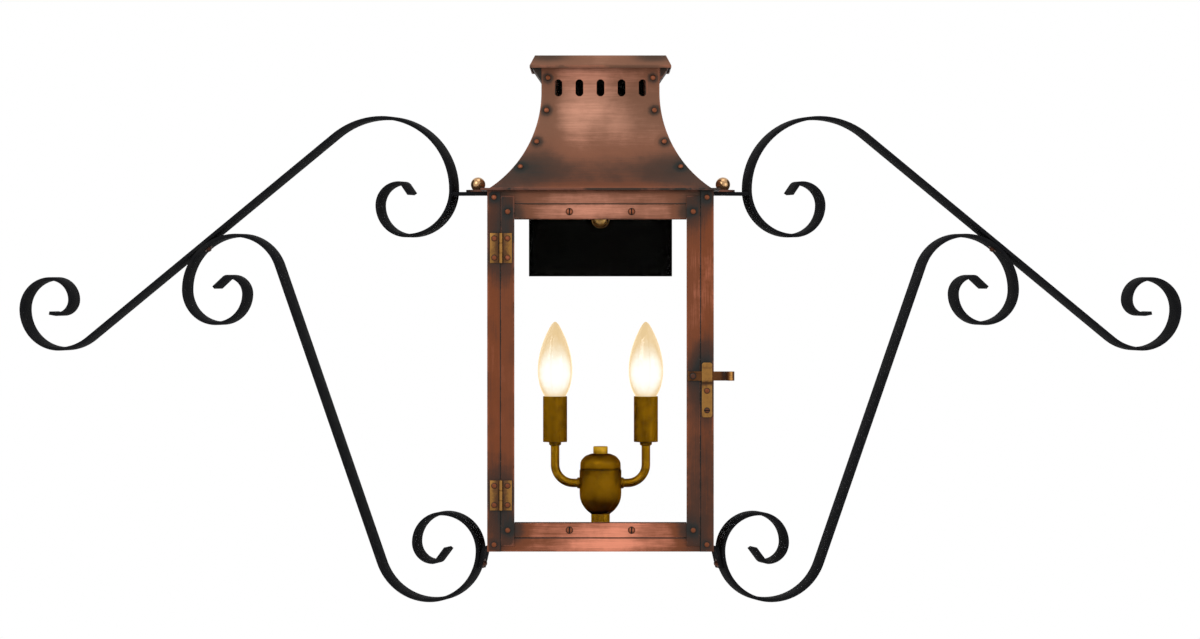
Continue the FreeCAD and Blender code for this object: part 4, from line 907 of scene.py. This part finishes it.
class LANTERN_OT_roof(Undoable, bpy.types.Operator):
    """Curved roof panels that run up into the chimney"""
    bl_idname = "lantern.roof"
    bl_label = "Roof panels"

    def execute(self, context):
        sizes = context.scene.lantern_sheets
        for node, way in ROOF_PANELS.items():
            mesh = sheet_mesh(node, sizes.cell, sizes.edge_round, ROOF_AGE, 1.0, sizes.slot_round)
            corners = corners_of(mesh) / MM
            # Painted sheen by height: a painted reflection, strongest on the flare
            store(mesh, "pale", np.interp(corners[:, 2], *ROOF_SHEEN))
            normals = np.array([corner.normal for corner in mesh.vertices])
            outward = (corners.mean(axis=0) - (0.0, AXIS_Y, 0.0))[:2]
            inside = normals[:, :2] @ (outward / np.linalg.norm(outward)) < -0.35
            age = np.empty(len(normals), dtype=np.float32)
            mesh.attributes["age"].data.foreach_get("value", age)
            # Painted shade: the roof's inward-facing faces are set dark
            store(mesh, "age", np.where(inside, INSIDE_SHADE, age))
            piece(node + "_sheet", mesh, metal("Copper brushed " + way), "copper", node)
        return {"FINISHED"}


class LANTERN_OT_rivets(Undoable, bpy.types.Operator):
    """Domed rivets of the frame, roof, door and back plate"""
    bl_idname = "lantern.rivets"
    bl_label = "Rivets"

    def execute(self, context):
        sizes = context.scene.lantern_fixings
        for index, node in enumerate(("frame_rivets", "roof_rivets", "door_rivets", "back_plate_rivets")):
            heads(node + "_domes", node, head_seats(node), sizes.rivet_radius, sizes.rivet_height, seed_shift=index)
        return {"FINISHED"}


class LANTERN_OT_screws(Undoable, bpy.types.Operator):
    """Slotted screws of the door and the catch, and the lever's pivot"""
    bl_idname = "lantern.screws"
    bl_label = "Slotted screws"

    def execute(self, context):
        sizes = context.scene.lantern_fixings
        for name, node, radius, height, look in (
                ("door_screw_heads", "door_screws", sizes.screw_radius, sizes.screw_height,
                 {"slot_width": sizes.slot_width, "age_shift": -0.12}),
                ("catch_screw_head", "catch_screw", sizes.catch_radius, sizes.rivet_height,
                 {"slot_width": sizes.slot_width * 0.8, "slot_turn": math.pi / 2, "age_shift": 0.3, "seed_shift": 5}),
                ("lever_pivot_head", "latch_pivot", sizes.pivot_radius, sizes.rivet_height,
                 {"age_shift": 0.35, "seed_shift": 6})):
            heads(name, node, front_seats(node, height), radius, height, **look)
        return {"FINISHED"}


# Hinges, in mm: place of the pin, radius and half length of the middle knuckle, thickness of a leaf, gap between
# knuckles, bore and chamfer of a knuckle, radius and tapered ends of the pin
PIN_X, PIN_Y = -89.65, -219.6
KNUCKLE, HALF_KNUCKLE, LEAF, GAP, BORE, CHAMFER = 1.6, 27.0 / 6, 0.9, 0.3, 0.85, 0.15
PIN_RADIUS, PIN_TAPER, PIN_TIP = 0.8, 0.2, 0.25
HINGE_AGE, PIN_AGE = 0.42, 0.6


def hinge_leaf(corners, side):
    """A leaf and its knuckles, on the post's side (-1) or the door's (1) of the pin."""
    low, high = corners.min(axis=0) / MM, corners.max(axis=0) / MM
    mid = (low[2] + high[2]) / 2
    near = PIN_X + side * (KNUCKLE + GAP)
    if side > 0:
        far, bands = high[0], [(-HALF_KNUCKLE + GAP / 2, HALF_KNUCKLE - GAP / 2)]
    else:
        far, bands = low[0], [(HALF_KNUCKLE + GAP / 2, high[2] - mid), (low[2] - mid, -HALF_KNUCKLE - GAP / 2)]
    plate = bmesh.new()
    for x0, x1, z0, z1 in [(near, far, low[2], high[2])] + [(PIN_X, near, mid + a, mid + b) for a, b in bands]:
        size = Vector((abs(x1 - x0), LEAF, z1 - z0)) * MM
        place = Vector(((x0 + x1) / 2, FRONT - LEAF / 2, (z0 + z1) / 2)) * MM
        bmesh.ops.create_cube(plate, size=1.0, matrix=Matrix.Translation(place) @ Matrix.Diagonal((*size, 1.0)))
    bevel(plate, plate.edges[:], 0.18 * MM, 2, clamp=False)
    return [plate] + [lathe([(BORE, a), (KNUCKLE - CHAMFER, a), (KNUCKLE, a + CHAMFER), (KNUCKLE, b - CHAMFER),
                             (KNUCKLE - CHAMFER, b), (BORE, b)], 40, Vector((PIN_X, PIN_Y, mid)) * MM, hollow=True)
                      for a, b in bands]


class LANTERN_OT_hinges(Undoable, bpy.types.Operator):
    """Brass butt hinges: two leaves with round knuckles about a pin"""
    bl_idname = "lantern.hinges"
    bl_label = "Hinges"

    def execute(self, context):
        for node, side in (("hinge_post_leaves", -1), ("hinge_door_leaves", 1)):
            builds = [build for corners in islands(node) for build in hinge_leaf(corners, side)]
            mesh = to_mesh(joined(builds), node, 30.0)
            from_pin = np.abs(corners_of(mesh)[:, 0] / MM - PIN_X)
            store(mesh, "age", HINGE_AGE + 0.55 * np.exp(-((from_pin - KNUCKLE - GAP) / 0.6) ** 2))
            piece(node + "_brass", mesh, metal("Aged brass"), "brass", node)
        pins = []
        for corners in islands("hinge_pins"):
            low, high = corners[:, 2].min() / MM, corners[:, 2].max() / MM
            profile = [(0, 0), (PIN_RADIUS - PIN_TAPER, 0), (PIN_RADIUS, PIN_TIP), (PIN_RADIUS, high - low - PIN_TIP),
                       (PIN_RADIUS - PIN_TAPER, high - low), (0, high - low)]
            pins.append(lathe(profile, 24, Vector((PIN_X, PIN_Y, low)) * MM))
        turned_piece("hinge_pin_rods", pins, metal("Aged brass"), "brass", PIN_AGE, "hinge_pins", marked=False)
        return {"FINISHED"}


# Metal, age, distance from the front in mm, and painted shade and highlights along the piece: axis, place and reach in
# mm, and strength
LATCH = {
    "latch_lever": ("Browned brass", 0.50, 0.06,
                    ((0, 83.0, 4.0, 0.20), (0, 111.5, 2.4, 0.55), (0, 117.3, 1.5, -0.42), (0, 120.6, 0.9, 0.5))),
    "latch_catch": ("Aged brass", 0.44, 0.0,
                    ((2, -149.8, 2.2, 0.50), (2, -178.0, 2.0, 0.15), (2, -136.0, 1.2, 0.2))),
}


class LANTERN_OT_latch(Undoable, bpy.types.Operator):
    """The swinging lever and the bent catch it drops behind"""
    bl_idname = "lantern.latch"
    bl_label = "Latch"

    def execute(self, context):
        for node, (material, base, clear, shades) in LATCH.items():
            mesh = sheet_mesh(node, 1.2 * MM, 0.2 * MM, base)
            corners = corners_of(mesh) / MM
            corners[:, 1] = np.minimum(corners[:, 1], FRONT - clear)
            mesh.vertices.foreach_set("co", (corners * MM).ravel())
            age = np.full(len(corners), base)
            # Painted shade and highlights: dark and bright bands on the lever's curl, a darker patch by its pivot, and
            # dark bands at the catch's bends
            for axis, place, reach, strength in shades:
                age += strength * np.exp(-((corners[:, axis] - place) / reach) ** 2)
            store(mesh, "age", age)
            piece(node + "_strip", smoothed(mesh, 34.0), metal(material), "brass", node)
        return {"FINISHED"}


class LANTERN_OT_panes(Undoable, bpy.types.Operator):
    """Clear glass of the door, sides and rear"""
    bl_idname = "lantern.panes"
    bl_label = "Glass panes"

    def execute(self, context):
        for node in ("side_glass", "rear_glass", "door_glass"):
            NODES[node].material_slots[0].material = pane_glass()
        return {"FINISHED"}


# Turned profiles of the lamp: radius and height over the floor, in mm
STEM = [(3.0, -5), (8.2, -5), (8.6, -4.6), (8.6, 28.55), (3.0, 28.55)]
CUP = [(0, 28.6), (8.9, 28.6), *smooth_line([(9.1, 28.9), (12.4, 31.6), (15.6, 35.5), (18.0, 40.1), (19.1, 45.4),
                                             (19.3, 52.0)], 6), (19.3, 68.9), (18.9, 69.6), (0, 69.6)]
DOME = [(0, 69.75), (18.6, 69.75), (18.7, 70.1), (18.7, 72.1),
        *smooth_line([(18.7, 73.0), (18.0, 77.2), (14.4, 81.6), (9.4, 83.8), (8.4, 84.0)], 7), (0, 84.0)]
KNOB = [(0, 84.05), (6.65, 84.05), (6.65, 90.3), (6.2, 90.9), (3.2, 90.95), (0, 90.95)]
ARM_START, ARM_HEIGHT, ARM_TOP = 15.3, 57.1, 92.2
FLANGE_AT, FLANGE = 18.8, [(0, 0), (4.9, 0), (5.1, 0.3), (5.1, 2.2), (4.4, 2.8), (0, 2.8)]
COLLAR = [(0, 91.6), (4.3, 91.6), (5.2, 92.2), (5.6, 92.9), (5.6, 94.6), (5.2, 94.95), (0, 94.95)]
SLEEVE = [(10.3, 95.8), (10.3, 137.05), (10.9, 137.05), (11.1, 136.8), (11.1, 95.3), (10.8, 95.0), (9.0, 95.0),
          (9.0, 95.8)]
# A bulb's base over its own foot, with seven turns of thread, and the outline of its glass in shares of its height
# and radius
BASE = [(0, 0), (2.2, 0), (2.4, 0.3), (2.8, 1.9), (5.6, 2.2)]
BASE += [(radius, 3.0 + turn * 2.2 + rise) for turn in range(7)
         for radius, rise in ((6.0, 0.0), (6.0, 0.7), (5.6, 1.2), (5.6, 1.7))]
BASE += [(5.9, 19.0), (5.9, 21.45), (0, 21.45)]
BASE_LENGTH = 21.5
BULB = ((0.0, 0.374), (0.03, 0.45), (0.07, 0.595), (0.12, 0.73), (0.20, 0.875), (0.30, 0.97), (0.40, 1.0),
        (0.53, 0.955), (0.66, 0.825), (0.78, 0.64), (0.88, 0.43), (0.95, 0.255), (0.985, 0.135))
# Where a bulb glows most, as a share of its height, and how far the glow reaches up and down from there, in mm
HOT, HOT_UP, HOT_DOWN = 0.34, 25.0, 22.0


class LANTERN_OT_cluster(Undoable, bpy.types.Operator):
    """Stem, two-part body, knob and bent arms of the lamp"""
    bl_idname = "lantern.cluster"
    bl_label = "Lamp cluster"

    def execute(self, context):
        sizes = context.scene.lantern_lamp
        steps, reach = sizes.turned_steps, sizes.arm_reach / MM
        along, plain = metal("Lamp brass Z"), metal("Lamp brass plain")
        turned_piece("lamp_stem_tube", [lathe(STEM, steps, spot(0), hollow=True)], along, "lamp_brass", 0.26,
                     "lamp_stem", marked=False)
        for name, node, profile, material, age in (("cluster_body_cup", "cluster_body", CUP, plain, 0.46),
                                                   ("cluster_cap_dome", "cluster_cap", DOME, plain, 0.44),
                                                   ("cluster_knob_top", "cluster_knob", KNOB, along, -0.12)):
            turned_piece(name, [lathe(profile, steps, spot(0))], material, "lamp_brass", age, node)
        route = ((ARM_START, ARM_HEIGHT), (reach, ARM_HEIGHT), (reach, ARM_TOP))
        points = [tuple(spot(side * x, z)) for side in SIDES for x, z in route]
        tubes = made_by(tube_tree(), points, [(0, 1), (1, 2), (3, 4), (4, 5)], {
            "Bend Radius": sizes.arm_bend, "Tube Radius": sizes.arm_radius, "Steps": 20, "Material": plain})
        smoothed(tubes, 40.0)
        store(tubes, "age", age_at(corners_of(tubes), 0.36))
        piece("lamp_arm_tubes", tubes, plain, "lamp_brass", "lamp_arms")
        collars = []
        for side in SIDES:
            collars.append(lathe(FLANGE, 40, spot(side * FLANGE_AT, ARM_HEIGHT), (side, 0, 0)))
            collars.append(lathe(COLLAR, 40, spot(side * reach)))
        turned_piece("lamp_arm_collars", collars, plain, "lamp_brass", 0.5)
        return {"FINISHED"}


class LANTERN_OT_candles(Undoable, bpy.types.Operator):
    """Candle sleeves, lit bulbs and their bases"""
    bl_idname = "lantern.candles"
    bl_label = "Candles"

    def execute(self, context):
        sizes = context.scene.lantern_lamp
        steps, places = sizes.turned_steps, [side * sizes.arm_reach / MM for side in SIDES]
        turned_piece("candle_sleeve_tubes", [lathe(SLEEVE, steps, spot(x), hollow=True) for x in places],
                     metal("Lamp brass Z"), "lamp_brass", 0.30, "candle_sleeves")
        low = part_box("bulb_bases")[0].z / MM - ROW
        turned_piece("bulb_base_shells", [lathe(BASE, 40, spot(x, low)) for x in places], speckled("bulb_metal"),
                     "bulb_metal", 0.3, "bulb_bases")
        foot = low + BASE_LENGTH
        high, wide, wall = sizes.bulb_height / MM, sizes.bulb_radius / MM, sizes.bulb_wall / MM
        line = smooth_line([(wide * radius, foot + high * height) for height, radius in BULB], 6)
        outer = [(0, foot), *line, (wide * 0.045, foot + high * 0.9995), (0, foot + high)]
        inner = [(max(radius - wall, 0.05), z) for radius, z in line[2:-6]]
        inner = [(0, foot + wall), (inner[0][0], foot + wall), *inner, (0, inner[-1][1] + 0.1)]
        shells = []
        for x in places:
            shells += [lathe(outer, steps, spot(x)), lathe(inner, steps, spot(x))]
            bmesh.ops.reverse_faces(shells[-1], faces=shells[-1].faces)
        mesh = to_mesh(joined(shells), "bulb_glass_shells", 60.0)
        above = corners_of(mesh)[:, 2] / MM - (foot + high * HOT + ROW)
        store(mesh, "glow", np.exp(-(above / np.where(above > 0, HOT_UP, HOT_DOWN)) ** 2))
        piece("bulb_glass_shells", mesh, bulb_glass(), "bulb_glass", "bulb_glasses")
        return {"FINISHED"}


# Ball nuts: radius, how much of the ball is cut off below, and place of its foot, in mm
BALL_RADIUS, BALL_SINK, BALL_X, BALL_FOOT = 6.75, 1.85, 113.0, 327.5


class LANTERN_OT_ball_nuts(Undoable, bpy.types.Operator):
    """Polished ball nuts on the brim's ears"""
    bl_idname = "lantern.ball_nuts"
    bl_label = "Ball nuts"

    def execute(self, context):
        lift = BALL_RADIUS - BALL_SINK
        start = math.asin(-lift / BALL_RADIUS)
        turns = [start + (math.pi / 2 - start) * i / 24 for i in range(24)]
        profile = [(0, 0), *((BALL_RADIUS * math.cos(turn), BALL_RADIUS * math.sin(turn) + lift) for turn in turns),
                   (0, BALL_RADIUS + lift)]
        turned_piece("ball_nut_balls", [lathe(profile, 48, spot(side * BALL_X, BALL_FOOT)) for side in SIDES],
                     metal("Polished ball brass"), "brass", 0.3, "ball_nuts")
        return {"FINISHED"}


# Radius and distance from the washer's seat towards the front, in mm
WASHER_SEAT, NUT_SEAT = -15.2, -16.2
WASHER = [(4.75, 0), (7.2, 0), (7.5, 0.3), (8.7, 3.7), (8.5, 4.0), (7.9, 3.9), (7.7, 3.6), (6.6, 1.1), (4.75, 1.0)]
NUT = [(0, 0), (5.9, 0), (6.2, 0.3), (6.2, 3.3),
       *smooth_line([(6.1, 3.7), (5.2, 5.3), (3.2, 6.5), (1.2, 6.87)], 4), (0, 6.9)]


class LANTERN_OT_wall_plate(Undoable, bpy.types.Operator):
    """Black back plate, with the cup washer and domed nut that hold it"""
    bl_idname = "lantern.wall_plate"
    bl_label = "Wall plate and nut"

    def execute(self, context):
        mesh = sheet_mesh("back_plate", 8.0 * MM, 0.35 * MM, 0.5)
        # The back plate's black is partly painted shade
        piece("back_plate_pan", mesh, speckled("black_paint_and_shade"), "black_iron", "back_plate")
        for name, node, profile, seat, steps, age, hollow in (
                ("cup_washer_ring", "cup_washer", WASHER, WASHER_SEAT, 56, 0.3, True),
                ("wall_nut_dome", "wall_nut", NUT, NUT_SEAT, 48, 0.15, False)):
            build = lathe(profile, steps, Vector((0, seat, 0)) * MM, (0, -1, 0), hollow)
            turned_piece(name, [build], metal("Aged brass"), "brass", age, node)
        return {"FINISHED"}


# Scroll brackets, in mm and degrees. Each curl runs from the straight outwards: radius of its first arc, radii of its
# arcs in shares of that, turn of the first arc, turn and length of the tail
UPPER = {"heading": 180 - 38.15, "straight": 306.6, "side": 1, "curls": (
    (46.0, (1.0, 0.81, 0.626, 0.43, 0.296), 38.15, 10.0, 6.0),
    (75.0, (1.0, 0.889, 0.566, 0.375, 0.274), 38.15, 55.0, 9.7))}
LOWER = {"heading": 180 + 70.2, "straight": 292.6, "side": -1, "curls": (
    (42.3, (1.0, 1.2, 0.742, 0.651, 0.384), 70.2, 42.0, 13.4),
    (51.2, (1.0, 0.902, 0.664, 0.525, 0.353), 70.2, 53.0, 13.5))}
UPPER_FOOT = (369.7, 189.1)
TAIL_BEND = 5.2
JOINT_FROM_FOOT, JOINT_GAP = 143.4, 0.1


def direction(angle_of_way):
    return np.array((math.cos(angle_of_way), math.sin(angle_of_way)))


def curl_moves(curl, side):
    radius, shares, first_turn, tail_turn, tail = curl
    turns = [first_turn] + [90.0] * (len(shares) - 1)
    moves = [(radius * share, side * turn) for share, turn in zip(shares, turns)]
    return moves + [(TAIL_BEND, side * tail_turn), (None, tail)]


def follow(point, heading, moves, step):
    """Points along straights and arcs, each arc in small even steps."""
    points = [np.array(point, dtype=float)]
    for radius, amount in moves:
        if radius is None:
            points.append(points[-1] + direction(heading) * amount)
            continue
        turn = math.radians(amount)
        steps = max(2, round(abs(turn) / step))
        aside = math.copysign(math.pi / 2, turn)
        for _ in range(steps):
            centre = points[-1] + direction(heading + aside) * radius
            heading += turn / steps
            points.append(centre - direction(heading + aside) * radius)
    return points


def bar_points(bar, foot, step):
    heading = math.radians(bar["heading"])
    inner, outer = (curl_moves(curl, bar["side"]) for curl in bar["curls"])
    back = follow(foot, heading + math.pi, inner, step)
    return back[::-1] + follow(foot, heading, [(None, bar["straight"])] + outer, step)[1:]


def lower_foot(sizes):
    """The lower bar's foot, where its middle curl touches the upper bar."""
    way = math.radians(UPPER["heading"])
    joint = np.array(UPPER_FOOT) + JOINT_FROM_FOOT * direction(way)
    radius, shares, slope, _, _ = LOWER["curls"][0]
    arc = radius * shares[1]
    crest = joint + direction(way + math.pi / 2) * (sizes.thickness / MM + JOINT_GAP + arc) + np.array((0.0, arc))
    return follow(crest, math.pi, [(radius, slope)], sizes.bend_step)[-1]


def on_bracket(point, side, sizes):
    """A point of the bracket's plane, in metres, at one side of the lantern."""
    out = point[0] * MM
    x = sizes.root + out * math.cos(sizes.sweep)
    return (side * x, AXIS_Y * MM + out * math.sin(sizes.sweep), (point[1] + ROW) * MM)


class LANTERN_OT_scrolls(Undoable, bpy.types.Operator):
    """The four flat bars with a curl at each end"""
    bl_idname = "lantern.scrolls"
    bl_label = "Scroll bars"

    def execute(self, context):
        sizes = context.scene.lantern_brackets
        for name, bar, foot in (("upper", UPPER, UPPER_FOOT), ("lower", LOWER, lower_foot(sizes))):
            points = bar_points(bar, foot, sizes.bend_step)
            for label, side in (("left", -1), ("right", 1)):
                path = [on_bracket(point, side, sizes) for point in points]
                across = (-side * math.sin(sizes.sweep), math.cos(sizes.sweep), 0.0)
                mesh = made_by(bar_tree(), path, [(i, i + 1) for i in range(len(path) - 1)], {
                    "Across": across, "Width": sizes.width, "Thickness": sizes.thickness,
                    "Edge Round": sizes.edge_round, "Material": iron()})
                piece(name + "_scroll_bar_" + label, smoothed(mesh, 50.0), iron(), "black_iron",
                      name + "_scroll_" + label)
        return {"FINISHED"}


# In mm: the longest bolt, the longest rivet, and the longest head whose crown follows its length
LONGEST_BOLT, LONGEST_RIVET, LONGEST_HEAD = 18, 6, 4


def round_fixing(corners):
    """A bolt or rivet with round domed ends, as long and as wide as the plain one with these corners."""
    centre = corners.mean(axis=0)
    axis = np.linalg.svd(corners - centre)[2][2 if np.ptp(corners, axis=0).max() < LONGEST_RIVET * MM else 0]
    heights = (corners - centre) @ axis / MM
    radii = np.linalg.norm(np.cross(corners - centre, axis), axis=1) / MM
    low, high = heights.min(), heights.max()
    profile = []
    for height in sorted(set(heights.round(2))):
        at = np.abs(heights - height) < 0.02
        upper = bool(height > (low + high) / 2)
        profile += [(radius, height) for radius in sorted(set(radii[at].round(2)), reverse=upper)]
    crown = 0.16 * (high - low) if high - low < LONGEST_HEAD else 0.5
    profile = [(0, low), (profile[0][0] * 0.6, low + crown * 0.25), *profile[1:-1],
               (profile[-1][0] * 0.6, high - crown * 0.25), (0, high)]
    return lathe(profile, 28, centre, axis)


class LANTERN_OT_bracket_joints(Undoable, bpy.types.Operator):
    """Straps, lugs, bolts and domed nuts of the brackets"""
    bl_idname = "lantern.bracket_joints"
    bl_label = "Bracket straps and bolts"

    def execute(self, context):
        mesh = sheet_mesh("scroll_straps", 8.0 * MM, 0.35 * MM, 0.5)
        piece("scroll_strap_bars", mesh, iron(), "black_iron", "scroll_straps")
        mesh = sheet_mesh("scroll_lugs_and_bolts", 6.0 * MM, 0.25 * MM, 0.5, least_size=LONGEST_BOLT * MM)
        piece("bracket_lugs", mesh, iron(), "black_iron", "scroll_lugs_and_bolts")
        fixings = [round_fixing(corners) for corners in islands("scroll_lugs_and_bolts")
                   if np.ptp(corners, axis=0).max() < LONGEST_BOLT * MM]
        turned_piece("bracket_bolts_and_nuts", fixings, metal("Copper heads"), "copper_rivets", 0.75, marked=False)
        return {"FINISHED"}


class LANTERN_OT_hidden(Undoable, bpy.types.Operator):
    """Finishes of the pieces that stay as the frame has them"""
    bl_idname = "lantern.hidden"
    bl_label = "Inner pieces"

    def execute(self, context):
        for node in ("stem_locknut", "ball_nut_studs", "wall_crossbar", "mounting_stud", "lamp_sockets"):
            finish = "socket" if node == "lamp_sockets" else "zinc"
            NODES[node].material_slots[0].material = speckled(finish)
        return {"FINISHED"}


# Name, setting of its power, place and size in metres
STUDIO_LAMPS = (("key", "key_power", (-1.5, -2.3, 1.4), 1.6), ("fill", "fill_power", (1.9, -2.0, 0.2), 1.4),
                ("top", "top_power", (0.2, -0.6, 2.2), 1.4))


def new_floor(sizes):
    half, z = sizes.floor_size, -sizes.floor_drop
    mesh = bpy.data.meshes.new("floor")
    mesh.from_pydata([(-half, -half, z), (half, -half, z), (half, half, z), (-half, half, z)], [], [(0, 1, 2, 3)])
    material, t = new_material("Pale floor")
    t.finish({"Base Color": t.mix(t.noise(t.place(), 1.4, 3.0), (0.93, 0.93, 0.93, 1.0), (0.97, 0.97, 0.97, 1.0)),
              "Roughness": 0.85, "Specular IOR Level": 0.1})
    mesh.materials.append(material)
    return bpy.data.objects.new("floor", mesh)


def new_sky(sizes):
    """Even light that is plain white where the camera, a mirror or a pane sees it."""
    world = bpy.data.worlds.new("studio")
    world.use_nodes = True
    t = Tree(world.node_tree, world.node_tree.nodes["Background"])
    rays = t.node("ShaderNodeLightPath").outputs
    seen = t.math("MAXIMUM", rays["Is Camera Ray"], rays["Is Glossy Ray"])
    seen = t.math("MAXIMUM", seen, rays["Is Transmission Ray"])
    t.finish({"Color": (1.0, 1.0, 1.0, 1.0),
              "Strength": t.add("ShaderNodeMapRange", (seen, 0.0, 1.0, sizes.sky, 1.0))})
    return world


class LANTERN_OT_stage(Undoable, bpy.types.Operator):
    """Pale floor, soft studio lamps and the camera"""
    bl_idname = "lantern.stage"
    bl_label = "Stage"

    def execute(self, context):
        scene = context.scene
        sizes, link = scene.lantern_stage, scene.collection.objects.link
        scene.view_settings.view_transform = "Standard"
        view = bpy.data.cameras.new("camera")
        view.lens, view.sensor_width, view.clip_end = sizes.lens, 36.0, 50.0
        view.shift_x, view.shift_y = -0.0004, -0.0410
        camera = bpy.data.objects.new("camera", view)
        camera.location = (0.0, -sizes.camera_distance, sizes.camera_height)
        camera.rotation_euler = (math.pi / 2, 0.0, 0.0)
        link(camera)
        scene.camera = camera
        floor = new_floor(sizes)
        link(floor)
        scene.world = new_sky(sizes)
        for name, power, place, size in STUDIO_LAMPS:
            light = bpy.data.lights.new(name, "AREA")
            light.energy, light.size = getattr(sizes, power), size
            lamp = bpy.data.objects.new(name, light)
            lamp.location = place
            aim = Vector((0.0, AXIS_Y * MM, 0.0)) - Vector(place)
            lamp.rotation_euler = aim.to_track_quat("-Z", "Y").to_euler()
            link(lamp)
        return {"FINISHED"}


class LANTERN_PT_pieces(bpy.types.Panel):
    """Lists the lantern's pieces and its finishes"""
    bl_label = "Wall lantern"
    bl_idname = "LANTERN_PT_pieces"
    bl_space_type = "VIEW_3D"
    bl_region_type = "UI"
    bl_category = "Lantern"

    def draw(self, context):
        for operator in OPERATORS:
            self.layout.operator(operator.bl_idname)
        for name in PROPERTY_GROUPS:
            box = self.layout.box()
            box.label(text=name.replace("lantern_", "").title())
            settings = getattr(context.scene, name)
            for key in settings.bl_rna.properties.keys():
                if key not in ("rna_type", "name"):
                    box.prop(settings, key)


OPERATORS = (LANTERN_OT_sheets, LANTERN_OT_roof, LANTERN_OT_rivets, LANTERN_OT_screws, LANTERN_OT_hinges,
             LANTERN_OT_latch, LANTERN_OT_panes, LANTERN_OT_cluster, LANTERN_OT_candles, LANTERN_OT_ball_nuts,
             LANTERN_OT_wall_plate, LANTERN_OT_scrolls, LANTERN_OT_bracket_joints, LANTERN_OT_hidden,
             LANTERN_OT_stage)
PROPERTY_GROUPS = {"lantern_finishes": LanternFinishes, "lantern_sheets": SheetSizes,
                   "lantern_fixings": FixingSizes, "lantern_brackets": BracketSizes, "lantern_lamp": LampSizes,
                   "lantern_stage": StageSizes}


def register():
    for name, kind in PROPERTY_GROUPS.items():
        bpy.utils.register_class(kind)
        setattr(bpy.types.Scene, name, PointerProperty(type=kind))
    for operator in OPERATORS:
        bpy.utils.register_class(operator)
    bpy.utils.register_class(LANTERN_PT_pieces)


def unregister():
    bpy.utils.unregister_class(LANTERN_PT_pieces)
    for operator in reversed(OPERATORS):
        bpy.utils.unregister_class(operator)
    for name, kind in reversed(PROPERTY_GROUPS.items()):
        delattr(bpy.types.Scene, name)
        bpy.utils.unregister_class(kind)


def main():
    register()
    for operator in OPERATORS:
        getattr(bpy.ops.lantern, operator.bl_idname.split(".")[1])()


if __name__ == "__main__":
    main()
